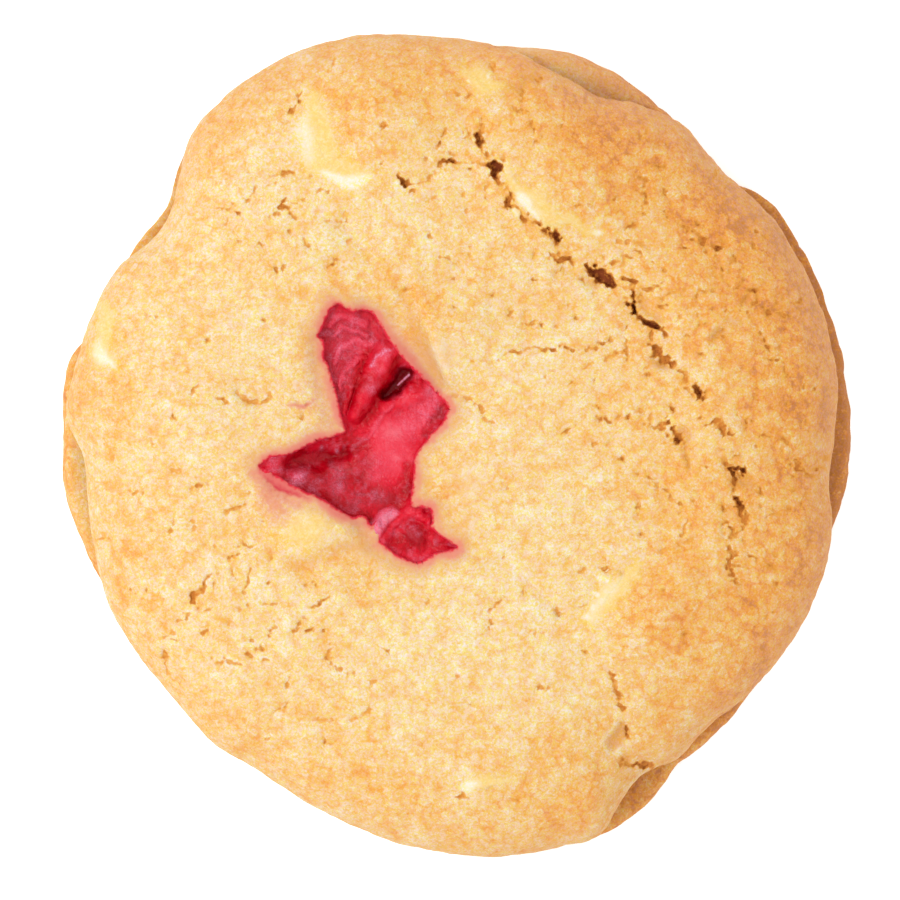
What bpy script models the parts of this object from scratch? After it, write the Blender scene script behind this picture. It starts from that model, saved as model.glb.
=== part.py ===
"""A round raspberry and white chocolate cookie, baked until it spread and cracked.

The dough is one soft dome that stands on a thin spread foot. Three pieces of raspberry lie in a
torn opening near its middle, and seven chunks of white chocolate show at its surface.

Lengths are in millimetres and become metres as each mesh is made. Bearings are in degrees,
anticlockwise from +X, about the middle of the cookie. +Z is up and the cookie stands on Z = 0.
"""

import math

import bmesh
import bpy
import numpy as np

MM = 0.001

# The dome.
DOME_TOP = 15.4
SHOULDER_HEIGHT = 7.4
SHOULDER_OVER_FOOT = 2.2
SHOULDER_SQUARENESS = 4.2
SHOULDER_ROUNDNESS = 2.1

# The spread foot under it, and the crease between the two.
FOOT_EDGE_ROUNDING = 1.0
CREASE_INSET = 1.2
CREASE_HEIGHT = 0.5

# (waves in a turn, phase, share) of the slow unevenness of the side.
SIDE_WAVES = ((5, 0.4, 0.28), (8, 2.1, 0.22), (13, 1.0, 0.16))

# The mesh of the dough.
SEGMENTS = 96
TOP_RINGS = 21

# Pieces that touch keep this far apart.
GAP = 0.3

# How deep the pieces sit, and how far above the cookie a cutter reaches.
OPENING_FLOOR = 8.4
CHUNK_DEPTH = 3.0
CUTTER_TOP = 22.0

# (bearing, radius) of the dome where it is widest.
DOME_OUTLINE = (
    (0, 37.3), (6, 38.0), (13, 38.5), (24, 38.7), (36, 38.7), (46, 38.1), (57, 39.1), (63, 38.5),
    (68, 37.6), (74, 38.2), (84, 40.1), (95, 41.2), (104, 42.3), (116, 42.6), (125, 42.0),
    (131, 41.0), (136, 39.0), (141, 37.3), (146, 37.1), (152, 38.5), (162, 39.1), (170, 39.3),
    (176, 39.4), (181, 37.8), (188, 37.6), (197, 38.1), (205, 38.5), (214, 38.4), (222, 38.2),
    (230, 38.7), (238, 38.2), (248, 38.9), (260, 40.1), (272, 41.1), (285, 41.4), (290, 41.3),
    (295, 38.8), (300, 37.5), (304, 38.1), (310, 37.5), (320, 38.1), (335, 38.6), (345, 38.4),
    (353, 37.3),
)

# (bearing, radius) of the foot, which is tucked under the dome where it is the smaller of the two.
FOOT_OUTLINE = (
    (0, 39.3), (15, 39.4), (30, 39.7), (38, 39.6), (45, 38.0), (50, 38.0), (57, 39.3), (65, 40.2),
    (72, 40.8), (84, 40.3), (94, 40.5), (108, 41.7), (122, 41.9), (130, 41.2), (135, 40.0),
    (140, 38.2), (148, 38.4), (158, 38.4), (165, 39.1), (170, 40.1), (178, 39.5), (187, 39.8),
    (195, 39.0), (204, 38.2), (215, 37.8), (235, 37.6), (250, 38.4), (265, 39.9), (280, 40.8),
    (290, 41.6), (297, 40.6), (304, 38.8), (313, 38.6), (322, 37.9), (335, 38.0), (343, 38.0),
    (350, 38.6),
)

# (bearing, height) of the foot: a slumped shelf at the upper right, a fold at the left.
FOOT_HEIGHTS = (
    (0, 2.6), (48, 2.6), (60, 6.0), (70, 8.2), (80, 8.6), (90, 5.0), (102, 2.6), (164, 2.6),
    (178, 4.4), (190, 5.4), (206, 3.0), (225, 2.6), (300, 2.6),
)

# (x, y, reach, height) of each soft bump and hollow of the top.
SWELLS = (
    (-8.5, 32.6, 5.6, 1.1),
    (11.5, 27.6, 6.4, 1.4),
    (20.0, -16.4, 6.2, 0.9),
    (-14.0, -8.4, 4.2, 1.0),
    (1.2, 36.8, 3.6, 0.5),
    (4.2, -33.0, 4.4, 0.6),
    (-25.5, -21.9, 4.8, 0.6),
    (-34.0, 11.6, 4.2, 0.5),
    (-0.6, 11.8, 3.8, 0.8),
    (27.0, 6.0, 9.0, 0.7),
    (-28.0, 20.0, 8.0, 0.4),
    (-8.5, 1.6, 10.0, -1.2),
    (-21.0, 4.7, 3.0, -0.4),
    (-10.2, 20.4, 3.2, -0.4),
)

# The raised outer band beyond the long crack: bearings of its ends and its inner edge.
BAND_RISE = 0.8
BAND_START = -62.0
BAND_END = 118.0
BAND_FADE = 22.0
BAND_INNER = 0.54
BAND_WIDTH = 0.16

# The torn opening, anticlockwise from its upper tip.
OPENING_UPPER_LEFT = (
    (-10.6, 13.7), (-12.3, 14.1), (-14.0, 10.9), (-13.2, 8.4), (-12.7, 6.2), (-12.1, 4.2),
    (-11.4, 1.5),
)
OPENING_LOWER_LEFT = (
    (-14.8, 0.2), (-17.3, -1.2), (-19.9, -2.2), (-18.2, -3.3), (-16.7, -4.2), (-13.8, -5.2),
    (-11.5, -6.7), (-8.8, -7.7), (-7.9, -9.4),
)
OPENING_TIP = (
    (-6.4, -10.6), (-4.6, -11.6), (-2.7, -10.8), (-0.4, -10.0), (-2.9, -8.1), (-2.9, -6.4),
)
OPENING_LOWER_RIGHT = (
    (-4.6, -6.0), (-4.6, -4.1), (-4.4, -1.0), (-3.5, 0.7), (-1.8, 2.3), (-1.3, 4.0), (-2.7, 5.9),
)
OPENING_UPPER_RIGHT = (
    (-4.8, 7.8), (-6.4, 9.3), (-7.1, 10.7), (-8.3, 12.2), (-9.0, 13.2),
)

# Where one piece of raspberry ends and the next begins.
UPPER_SEAM = ((-10.4, 2.5), (-8.8, 4.3), (-7.2, 5.0))
TIP_SEAM = ((-6.6, -7.6),)

# (x, y, reach, height) of the swells of each piece of raspberry, and how far it lies below the crust.
UPPER_BERRY_CENTRE = (-9.8, 8.2)
UPPER_BERRY_SINK = 1.3
UPPER_BERRY_SWELLS = (
    (-7.4, 8.6, 1.3, 1.1), (-8.6, 6.4, 1.2, 1.0), (-9.9, 4.2, 1.2, 0.8), (-11.2, 9.4, 2.2, -1.0),
    (-6.4, 6.4, 1.2, -2.4),
)
MIDDLE_BERRY_CENTRE = (-7.6, -0.4)
MIDDLE_BERRY_SINK = 1.9
MIDDLE_BERRY_SWELLS = (
    (-5.9, 0.2, 2.6, 1.9), (-8.8, -2.6, 2.6, 1.0), (-5.6, 5.2, 1.6, -2.0), (-14.6, -1.4, 2.4, -1.4),
    (-16.8, -3.2, 1.4, 0.8),
)
TIP_BERRY_CENTRE = (-4.4, -8.8)
TIP_BERRY_SINK = 1.0
TIP_BERRY_SWELLS = ((-4.8, -8.6, 1.4, 0.7), (-2.2, -9.4, 1.0, -0.5))

# (name, centre of the arc, radius, first bearing, last bearing, half width) of each chunk's bare side.
CHUNK_ARCS = (
    ("white_chocolate_upper_left", (-9.8, 31.8), 5.4, 148, 283, 1.2),
    ("white_chocolate_upper_right", (11.5, 27.6), 5.5, 186, 288, 1.0),
    ("white_chocolate_lower_right", (22.0, -19.4), 9.1, 120, 168, 1.2),
    ("white_chocolate_left_rim", (-32.2, 11.4), 3.7, 138, 230, 0.9),
    ("white_chocolate_beside_berry", (-11.0, -1.4), 8.0, 222, 282, 2.2),
    ("white_chocolate_lower_rim", (0.6, -25.6), 8.5, 264, 300, 0.85),
    ("white_chocolate_top_rim", (4.0, 41.6), 5.9, 218, 272, 0.9),
)
CHUNK_CROWN = 0.35
CHUNK_SIDES = 9

# (x, y, width, depth) along each crack of the crust.
CRACKS = (
    (
        (2.2, 32.0, 0.5, 0.8), (2.2, 30.0, 0.8, 1.2), (3.7, 27.6, 1.7, 3.0), (4.7, 24.3, 1.2, 2.0),
        (6.7, 22.6, 1.3, 2.2), (8.9, 21.0, 1.6, 2.8), (10.6, 18.4, 1.4, 2.0), (13.9, 17.0, 2.0, 3.2),
        (16.3, 16.1, 1.2, 2.0), (17.4, 14.2, 1.2, 2.0), (19.2, 12.1, 1.8, 3.0), (20.0, 9.0, 1.4, 2.0),
        (22.3, 7.0, 1.0, 1.5), (23.8, 5.2, 1.3, 2.0), (24.6, 3.6, 0.5, 0.8),
    ),
    ((-6.5, 26.1, 0.6, 0.8), (-3.0, 26.5, 0.9, 1.1), (-0.8, 28.0, 0.9, 1.1), (0.9, 28.8, 0.5, 0.7)),
    (
        (26.0, 1.8, 0.7, 1.0), (27.7, -2.7, 1.3, 2.0), (28.1, -5.4, 1.0, 1.8), (27.0, -9.9, 1.0, 1.5),
        (27.5, -13.4, 0.5, 0.8),
    ),
    (
        (15.2, -22.8, 0.6, 0.8), (15.8, -25.4, 0.9, 1.4), (16.2, -27.9, 1.2, 1.8), (15.7, -29.6, 1.8, 2.2),
        (17.0, -31.6, 1.2, 1.6), (19.1, -32.1, 0.6, 0.8),
    ),
    ((-19.0, 22.8, 0.6, 0.8), (-17.3, 23.9, 1.3, 1.6), (-16.2, 22.5, 1.1, 1.4), (-15.3, 19.9, 0.5, 0.7)),
    ((-0.4, 3.9, 0.9, 1.0), (2.0, 3.4, 0.7, 0.9), (5.5, 1.6, 0.4, 0.6)),
    ((0.6, -10.4, 0.7, 0.8), (3.7, -11.7, 1.0, 1.0), (6.2, -13.2, 0.8, 0.9), (9.9, -16.8, 0.5, 0.6)),
    ((-26.8, -15.3, 0.5, 0.6), (-25.4, -13.8, 1.0, 1.1), (-24.2, -12.4, 0.5, 0.6)),
    ((-29.6, -20.2, 0.5, 0.6), (-29.4, -22.4, 1.1, 1.1), (-28.6, -25.2, 0.9, 1.0)),
    ((-13.2, -19.9, 0.6, 0.6), (-13.2, -21.6, 1.0, 1.0), (-10.8, -22.6, 0.6, 0.6)),
)
CRACK_RISE = 1.2


def clear_scene():
    for thing in list(bpy.data.objects):
        bpy.data.objects.remove(thing, do_unlink=True)


def around(table, bearing):
    """The value at a bearing, on a smooth closed curve through the table's points."""
    angles = np.array([row[0] for row in table], float)
    values = np.array([row[1] for row in table], float)
    angles = np.concatenate([angles[-2:] - 360, angles, angles[:2] + 360])
    values = np.concatenate([values[-2:], values, values[:2]])
    slopes = np.gradient(values, angles)
    bearing = np.mod(bearing, 360.0)
    left = np.clip(np.searchsorted(angles, bearing, side="right") - 1, 0, len(angles) - 2)
    span = angles[left + 1] - angles[left]
    t = (bearing - angles[left]) / span
    return (
        values[left] * (1 + 2 * t) * (1 - t) ** 2
        + slopes[left] * span * t * (1 - t) ** 2
        + values[left + 1] * t * t * (3 - 2 * t)
        + slopes[left + 1] * span * t * t * (t - 1)
    )


def ease(value):
    """0 up to 0, 1 from 1 on, and a smooth step between."""
    value = np.clip(value, 0.0, 1.0)
    return value * value * (3 - 2 * value)


def swell(x, y, table):
    """The height that a table of round bumps and hollows adds at a point."""
    total = np.zeros_like(np.asarray(x, float))
    for bump_x, bump_y, reach, height in table:
        total = total + height * np.exp(-((x - bump_x) ** 2 + (y - bump_y) ** 2) / reach**2)
    return total


def band(bearing, share):
    """1 on the raised outer band, 0 off it."""
    off_start = np.mod(bearing - BAND_START, 360.0)
    length = BAND_END - BAND_START
    along = ease(off_start / BAND_FADE) * ease((length - off_start) / BAND_FADE)
    return along * ease((share - BAND_INNER) / BAND_WIDTH)


def shoulder_height(bearing):
    return np.maximum(SHOULDER_HEIGHT, around(FOOT_HEIGHTS, bearing) + SHOULDER_OVER_FOOT)


def crust_height(x, y):
    """Height of the top crust at a point inside the dome's outline."""
    bearing = np.degrees(np.arctan2(y, x))
    share = np.minimum(np.hypot(x, y) / around(DOME_OUTLINE, bearing), 1.0)
    fullness = (1 - share**SHOULDER_SQUARENESS) ** (1 / SHOULDER_ROUNDNESS)
    low = shoulder_height(bearing)
    relief = swell(x, y, SWELLS) + BAND_RISE * band(bearing, share)
    return low + (DOME_TOP - low + relief) * fullness


def middle_of_outline():
    """The middle of the box round the widest outline, which becomes the part's origin."""
    bearings = np.arange(0.0, 360.0, 0.5)
    radii = np.maximum(around(DOME_OUTLINE, bearings), around(FOOT_OUTLINE, bearings))
    x = radii * np.cos(np.radians(bearings))
    y = radii * np.sin(np.radians(bearings))
    return (x.min() + x.max()) / 2, (y.min() + y.max()) / 2


def material(name, colour, roughness):
    made = bpy.data.materials.new(name)
    made.use_nodes = True
    shader = made.node_tree.nodes["Principled BSDF"]
    shader.inputs["Base Color"].default_value = (*colour, 1.0)
    shader.inputs["Roughness"].default_value = roughness
    shader.inputs["Metallic"].default_value = 0.0
    made.diffuse_color = (*colour, 1.0)
    return made


def make_object(name, bm, finish, sharp_angle=math.radians(50)):
    """An object from a mesh in millimetres about the middle of the cookie."""
    middle_x, middle_y = middle_of_outline()
    for vert in bm.verts:
        vert.co.x = (vert.co.x - middle_x) * MM
        vert.co.y = (vert.co.y - middle_y) * MM
        vert.co.z *= MM
    bmesh.ops.recalc_face_normals(bm, faces=bm.faces)
    mesh = bpy.data.meshes.new(name)
    bm.to_mesh(mesh)
    bm.free()
    mesh.shade_smooth()
    mesh.set_sharp_from_angle(angle=sharp_angle)
    made = bpy.data.objects.new(name, mesh)
    bpy.context.scene.collection.objects.link(made)
    if finish is not None:
        made.data.materials.append(finish)
    return made


def bridge(bm, inner, outer):
    """Quads between two rings of the same number of vertices."""
    count = len(inner)
    for i in range(count):
        j = (i + 1) % count
        bm.faces.new((inner[i], inner[j], outer[j], outer[i]))


def dome_shares():
    """Shares of the dome's radius for the rings of the top, evenly spaced along its profile."""
    angle = np.linspace(0.0, math.pi / 2, 400)
    share = np.sin(angle) ** (2 / SHOULDER_SQUARENESS)
    fullness = np.cos(angle) ** (2 / SHOULDER_ROUNDNESS)
    radius = np.mean([row[1] for row in DOME_OUTLINE])
    steps = np.hypot(np.diff(share * radius), np.diff(fullness * (DOME_TOP - SHOULDER_HEIGHT)))
    length = np.concatenate([[0.0], np.cumsum(steps)])
    wanted = np.linspace(0.0, length[-1], TOP_RINGS + 1)[1:]
    return np.interp(wanted, length, share)


def side_wave(bearing):
    return sum(share * np.sin(waves * np.radians(bearing) + phase) for waves, phase, share in SIDE_WAVES)


def side_profile(bearing):
    """(radius, height) from just under the shoulder down to the edge of the flat base."""
    dome = around(DOME_OUTLINE, bearing)
    foot = around(FOOT_OUTLINE, bearing)
    foot_top = around(FOOT_HEIGHTS, bearing) * (1 + 0.3 * side_wave(bearing))
    crease = np.minimum(dome, foot) - CREASE_INSET * (1 + side_wave(bearing))
    crease_height = foot_top + CREASE_HEIGHT * (1 + side_wave(bearing + 60))
    under = shoulder_height(bearing) - crease_height
    return (
        (dome - 0.12 * CREASE_INSET, crease_height + 0.66 * under),
        (dome - 0.5 * CREASE_INSET, crease_height + 0.3 * under),
        (crease, crease_height),
        (foot - 0.9 * FOOT_EDGE_ROUNDING, foot_top),
        (foot - 0.25 * FOOT_EDGE_ROUNDING, 0.82 * foot_top),
        (foot, 0.5 * foot_top),
        (foot - 0.3 * FOOT_EDGE_ROUNDING, 0.2 * foot_top),
        (foot - FOOT_EDGE_ROUNDING, np.zeros_like(foot)),
    )


def add_ring(bm, radius, height, bearings):
    x = radius * np.cos(np.radians(bearings))
    y = radius * np.sin(np.radians(bearings))
    height = np.broadcast_to(height, x.shape)
    return [bm.verts.new(point) for point in zip(x, y, height)]


def make_dough(finish):
    """The dome, crease and foot as rings about the middle, closed by one flat base."""
    bm = bmesh.new()
    bearings = np.arange(SEGMENTS) * 360.0 / SEGMENTS
    outline = around(DOME_OUTLINE, bearings)
    rings = []
    for share in dome_shares():
        radius = share * outline
        x = radius * np.cos(np.radians(bearings))
        y = radius * np.sin(np.radians(bearings))
        rings.append(add_ring(bm, radius, crust_height(x, y), bearings))
    for radius, height in side_profile(bearings):
        rings.append(add_ring(bm, radius, height, bearings))
    centre = bm.verts.new((0.0, 0.0, float(crust_height(0.0, 0.0))))
    for i in range(SEGMENTS):
        bm.faces.new((centre, rings[0][i], rings[0][(i + 1) % SEGMENTS]))
    for inner, outer in zip(rings, rings[1:]):
        bridge(bm, inner, outer)
    bm.faces.new(rings[-1])
    return make_object("cookie_dough", bm, finish)


def offset_outline(points, distance):
    """A closed anticlockwise outline moved outwards by a distance, or inwards if it is negative."""
    points = np.asarray(points, float)
    edges = np.roll(points, -1, axis=0) - points
    edges /= np.linalg.norm(edges, axis=1)[:, None]
    normals = np.column_stack([edges[:, 1], -edges[:, 0]])
    before = np.roll(normals, 1, axis=0)
    mitre = 1 + (normals * before).sum(axis=1)
    return points + distance * (normals + before) / mitre[:, None]


def pocket_cutter(name, outline, floor):
    """An upright prism that cuts the space round a piece out of the dough."""
    bm = bmesh.new()
    outline = offset_outline(outline, GAP / 2)
    low = [bm.verts.new((x, y, floor)) for x, y in outline]
    high = [bm.verts.new((x, y, CUTTER_TOP)) for x, y in outline]
    bridge(bm, low, high)
    bm.faces.new(low)
    bm.faces.new(high)
    return as_cutter(make_object(name, bm, None))


def crack_cutter(name, points):
    """A wedge that cuts one crack, with its lowest edge along the crack's bottom."""
    bm = bmesh.new()
    points = np.asarray(points, float)
    along = np.gradient(points[:, :2], axis=0)
    along /= np.linalg.norm(along, axis=1)[:, None]
    side = np.column_stack([-along[:, 1], along[:, 0]])
    rings = []
    for (x, y, width, depth), across in zip(points, side):
        surface = float(crust_height(x, y))
        reach = across * width / 2 * (depth + CRACK_RISE) / depth
        rings.append(
            [
                bm.verts.new((x + reach[0], y + reach[1], surface + CRACK_RISE)),
                bm.verts.new((x - reach[0], y - reach[1], surface + CRACK_RISE)),
                bm.verts.new((x, y, surface - depth)),
            ]
        )
    for first, second in zip(rings, rings[1:]):
        bridge(bm, first, second)
    bm.faces.new(rings[0])
    bm.faces.new(rings[-1])
    return as_cutter(make_object(name, bm, None))


def as_cutter(made):
    made.hide_render = True
    made.display_type = "WIRE"
    return made


def cut(target, name, cutters):
    """Cuts a collection of separate shapes out of the target."""
    group = bpy.data.collections.new(name)
    bpy.context.scene.collection.children.link(group)
    for cutter in cutters:
        bpy.context.scene.collection.objects.unlink(cutter)
        group.objects.link(cutter)
    modifier = target.modifiers.new(name, "BOOLEAN")
    modifier.operation = "DIFFERENCE"
    modifier.solver = "EXACT"
    modifier.operand_type = "COLLECTION"
    modifier.collection = group


def make_lump(name, outline, centre, floor, top, rings, finish):
    """A piece with upright sides on a flat floor, whose top is a function of the place."""
    bm = bmesh.new()
    outline = offset_outline(outline, -GAP / 2)
    centre = np.asarray(centre, float)
    layers = []
    for ring in range(1, rings + 1):
        share = ring / rings
        points = centre + (outline - centre) * share
        heights = top(points[:, 0], points[:, 1], share)
        layers.append([bm.verts.new(point) for point in zip(points[:, 0], points[:, 1], heights)])
    layers.append([bm.verts.new((x, y, floor)) for x, y in outline])
    middle = bm.verts.new((*centre, float(top(centre[0], centre[1], 0.0))))
    for i, vert in enumerate(layers[0]):
        bm.faces.new((middle, vert, layers[0][(i + 1) % len(outline)]))
    for inner, outer in zip(layers, layers[1:]):
        bridge(bm, inner, outer)
    bm.faces.new(layers[-1])
    bmesh.ops.triangulate(bm, faces=[face for face in bm.faces if len(face.verts) > 4])
    return make_object(name, bm, finish)


def opening_outline():
    return (
        OPENING_UPPER_LEFT + OPENING_LOWER_LEFT + OPENING_TIP + OPENING_LOWER_RIGHT + OPENING_UPPER_RIGHT
    )


def make_raspberries(finish):
    """The three pieces of raspberry that lie in the opening, sunk below the crust."""
    seam_back = tuple(reversed(UPPER_SEAM))
    pieces = (
        (
            "raspberry_upper",
            OPENING_UPPER_LEFT + UPPER_SEAM + OPENING_UPPER_RIGHT,
            UPPER_BERRY_CENTRE,
            UPPER_BERRY_SINK,
            UPPER_BERRY_SWELLS,
        ),
        (
            "raspberry_middle",
            OPENING_UPPER_LEFT[-1:] + OPENING_LOWER_LEFT + TIP_SEAM + OPENING_LOWER_RIGHT
            + OPENING_UPPER_RIGHT[:1] + seam_back,
            MIDDLE_BERRY_CENTRE,
            MIDDLE_BERRY_SINK,
            MIDDLE_BERRY_SWELLS,
        ),
        (
            "raspberry_tip",
            OPENING_LOWER_LEFT[-1:] + OPENING_TIP + OPENING_LOWER_RIGHT[:1] + TIP_SEAM,
            TIP_BERRY_CENTRE,
            TIP_BERRY_SINK,
            TIP_BERRY_SWELLS,
        ),
    )
    for name, outline, centre, sink, swells in pieces:

        def top(x, y, share, sink=sink, swells=swells):
            return crust_height(x, y) - sink + swell(x, y, swells) - 0.5 * share**5

        make_lump(name, outline, centre, OPENING_FLOOR + GAP, top, 6, finish)


def chunk_outline(centre, radius, first, last, half_width):
    """A crescent along an arc, widest at its middle, anticlockwise."""
    share = np.linspace(0.0, 1.0, CHUNK_SIDES)
    bearing = np.radians(first + (last - first) * share)
    half = half_width * np.sin(math.pi * (0.12 + 0.76 * share)) ** 0.8
    inner = np.column_stack([(radius - half) * np.cos(bearing), (radius - half) * np.sin(bearing)])
    outer = np.column_stack([(radius + half) * np.cos(bearing), (radius + half) * np.sin(bearing)])
    return np.concatenate([outer, inner[::-1]]) + centre


def make_chunk(name, centre, radius, first, last, half_width, finish):
    """One chunk's solid, as rows of vertices across the crescent, and its pocket's cutter."""
    outline = chunk_outline(centre, radius, first, last, half_width)
    floor = float(crust_height(outline[:, 0], outline[:, 1]).min()) - CHUNK_DEPTH
    cutter = pocket_cutter("pocket_" + name, outline, floor)
    outline = offset_outline(outline, -GAP / 2)
    outer = outline[:CHUNK_SIDES]
    inner = outline[CHUNK_SIDES:][::-1]
    bm = bmesh.new()
    rows = []
    across = (0.0, 0.2, 0.5, 0.8, 1.0)
    for step in across:
        points = inner + (outer - inner) * step
        crown = CHUNK_CROWN * math.sin(math.pi * step)
        heights = crust_height(points[:, 0], points[:, 1]) + crown
        rows.append([bm.verts.new(point) for point in zip(points[:, 0], points[:, 1], heights)])
    for near, far in zip(rows, rows[1:]):
        for i in range(CHUNK_SIDES - 1):
            bm.faces.new((near[i], near[i + 1], far[i + 1], far[i]))
    first_end = [row[0] for row in rows]
    last_end = [row[-1] for row in rows]
    rim = rows[-1] + last_end[-2:0:-1] + rows[0][::-1] + first_end[1:-1]
    base = [bm.verts.new((vert.co.x, vert.co.y, floor + GAP)) for vert in rim]
    bridge(bm, base, rim)
    bm.faces.new(base)
    bmesh.ops.triangulate(bm, faces=[face for face in bm.faces if len(face.verts) > 4])
    make_object(name, bm, finish)
    return cutter


def main():
    clear_scene()
    dough_finish = material("baked_dough", (0.87, 0.60, 0.27), 0.85)
    berry_finish = material("raspberry", (0.62, 0.04, 0.09), 0.25)
    chocolate_finish = material("white_chocolate", (0.98, 0.86, 0.52), 0.45)
    dough = make_dough(dough_finish)
    cutters = [pocket_cutter("opening", opening_outline(), OPENING_FLOOR)]
    for name, centre, radius, first, last, half_width in CHUNK_ARCS:
        cutters.append(make_chunk(name, centre, radius, first, last, half_width, chocolate_finish))
    cut(dough, "pockets", cutters)
    cut(dough, "cracks", [crack_cutter(f"crack_{i}", points) for i, points in enumerate(CRACKS)])
    make_raspberries(berry_finish)


main()
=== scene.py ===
"""The finish of a raspberry and white chocolate cookie: crumbly crust, wet raspberry, bare chocolate.

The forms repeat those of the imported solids, with a finer mesh, finer relief and procedural materials.
Lengths are in millimetres about the middle of the cookie and become metres as each mesh is made.
Bearings are in degrees, anticlockwise from +X. +Z is up and the cookie stands on Z = 0.
"""

import math

import bpy
import numpy as np
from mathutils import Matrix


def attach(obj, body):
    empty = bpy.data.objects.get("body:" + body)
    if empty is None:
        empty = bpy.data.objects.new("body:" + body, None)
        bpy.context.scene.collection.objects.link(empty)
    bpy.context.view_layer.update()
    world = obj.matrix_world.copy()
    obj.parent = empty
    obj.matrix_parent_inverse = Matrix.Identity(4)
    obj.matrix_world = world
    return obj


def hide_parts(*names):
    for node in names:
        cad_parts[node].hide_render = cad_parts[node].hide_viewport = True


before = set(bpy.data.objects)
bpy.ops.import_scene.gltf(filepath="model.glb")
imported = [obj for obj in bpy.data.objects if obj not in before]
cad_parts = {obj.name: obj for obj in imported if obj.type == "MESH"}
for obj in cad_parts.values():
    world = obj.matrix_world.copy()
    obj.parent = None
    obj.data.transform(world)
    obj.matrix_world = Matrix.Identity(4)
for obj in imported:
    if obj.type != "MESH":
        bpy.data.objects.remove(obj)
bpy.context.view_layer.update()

MM = 0.001

# The dome.
DOME_TOP = 15.4
SHOULDER_HEIGHT = 7.4
SHOULDER_OVER_FOOT = 2.2
SHOULDER_SQUARENESS = 4.2
SHOULDER_ROUNDNESS = 2.1

# The spread foot under it, and the crease between the two.
FOOT_EDGE_ROUNDING = 1.0
CREASE_INSET = 1.2
CREASE_HEIGHT = 0.5

# (waves in a turn, phase, share) of the slow unevenness of the side.
SIDE_WAVES = ((5, 0.4, 0.28), (8, 2.1, 0.22), (13, 1.0, 0.16))

# (bearing, radius) of the dome where it is widest.
DOME_OUTLINE = (
    (0, 37.3), (6, 38.0), (13, 38.5), (24, 38.7), (36, 38.7), (46, 38.1), (57, 39.1), (63, 38.5),
    (68, 37.6), (74, 38.2), (84, 40.1), (95, 41.2), (104, 42.3), (116, 42.6), (125, 42.0),
    (131, 41.0), (136, 39.0), (141, 37.3), (146, 37.1), (152, 38.5), (162, 39.1), (170, 39.3),
    (176, 39.4), (181, 37.8), (188, 37.6), (197, 38.1), (205, 38.5), (214, 38.4), (222, 38.2),
    (230, 38.7), (238, 38.2), (248, 38.9), (260, 40.1), (272, 41.1), (285, 41.4), (290, 41.3),
    (295, 38.8), (300, 37.5), (304, 38.1), (310, 37.5), (320, 38.1), (335, 38.6), (345, 38.4),
    (353, 37.3),
)

# (bearing, radius) of the foot, which is tucked under the dome where it is the smaller of the two.
FOOT_OUTLINE = (
    (0, 39.3), (15, 39.4), (30, 39.7), (38, 39.6), (45, 38.0), (50, 38.0), (57, 39.3), (65, 40.2),
    (72, 40.8), (84, 40.3), (94, 40.5), (108, 41.7), (122, 41.9), (130, 41.2), (135, 40.0),
    (140, 38.2), (148, 38.4), (158, 38.2), (163, 38.6), (167, 40.2), (171, 40.2), (178, 39.7), (187, 39.8),
    (195, 39.0), (204, 38.2), (215, 37.8), (235, 37.6), (250, 38.4), (265, 39.9), (280, 40.8),
    (290, 41.6), (297, 40.6), (304, 38.8), (313, 38.6), (322, 37.9), (335, 38.0), (343, 38.0),
    (350, 38.6),
)

# (bearing, height) of the foot: a slumped shelf at the upper right, a fold at the left.
FOOT_HEIGHTS = (
    (0, 2.6), (48, 2.6), (60, 6.0), (70, 8.2), (80, 8.6), (90, 5.0), (102, 2.6), (164, 2.6),
    (178, 4.4), (190, 5.4), (206, 3.0), (225, 2.6), (300, 2.6),
)

# (x, y, reach, height) of each soft bump and hollow of the top.
SWELLS = (
    (-8.5, 32.6, 5.6, 1.1),
    (11.5, 27.6, 6.4, 1.4),
    (20.0, -16.4, 6.2, 0.9),
    (-14.0, -8.4, 4.2, 1.0),
    (1.2, 36.8, 3.6, 0.5),
    (4.2, -33.0, 4.4, 0.6),
    (-25.5, -21.9, 4.8, 0.6),
    (-34.0, 11.6, 4.2, 0.5),
    (-0.6, 11.8, 3.8, 0.8),
    (27.0, 6.0, 9.0, 0.7),
    (-28.0, 20.0, 8.0, 0.4),
    (-8.5, 1.6, 10.0, -1.2),
    (-21.0, 4.7, 3.0, -0.4),
    (-10.2, 20.4, 3.2, -0.4),
)

# The raised outer band beyond the long crack: bearings of its ends and its inner edge.
BAND_RISE = 0.8
BAND_START = -62.0
BAND_END = 118.0
BAND_FADE = 22.0
BAND_INNER = 0.54
BAND_WIDTH = 0.16

# The torn opening, anticlockwise from its upper tip, and the seams between the pieces of flesh in it.
OPENING_UPPER_LEFT = (
    (-10.6, 13.7), (-12.3, 14.1), (-14.0, 10.9), (-13.2, 8.4), (-12.7, 6.2), (-12.1, 4.2),
    (-11.4, 1.5),
)
OPENING_LOWER_LEFT = (
    (-14.8, 0.4), (-16.4, -0.3), (-17.5, -0.65), (-18.7, -0.75), (-19.7, -1.3), (-20.3, -2.0),
    (-19.6, -2.6), (-18.2, -3.3), (-16.7, -4.2), (-13.8, -5.2),
    (-11.5, -6.7), (-8.8, -7.7), (-7.9, -9.4),
)
OPENING_TIP = (
    (-6.4, -10.6), (-4.6, -11.6), (-2.7, -10.8), (-0.4, -10.0), (-2.9, -8.1), (-2.9, -6.4),
)
OPENING_LOWER_RIGHT = (
    (-4.6, -6.0), (-4.6, -4.1), (-4.4, -1.0), (-3.5, 0.7), (-1.8, 2.3), (-1.3, 4.0), (-2.7, 5.9),
)
OPENING_UPPER_RIGHT = (
    (-4.8, 7.8), (-6.4, 9.3), (-7.1, 10.7), (-8.3, 12.2), (-9.0, 13.2),
)
UPPER_SEAM = ((-10.4, 2.5), (-8.8, 4.3), (-7.2, 5.0))
TIP_SEAM = ((-6.6, -7.6),)

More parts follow.
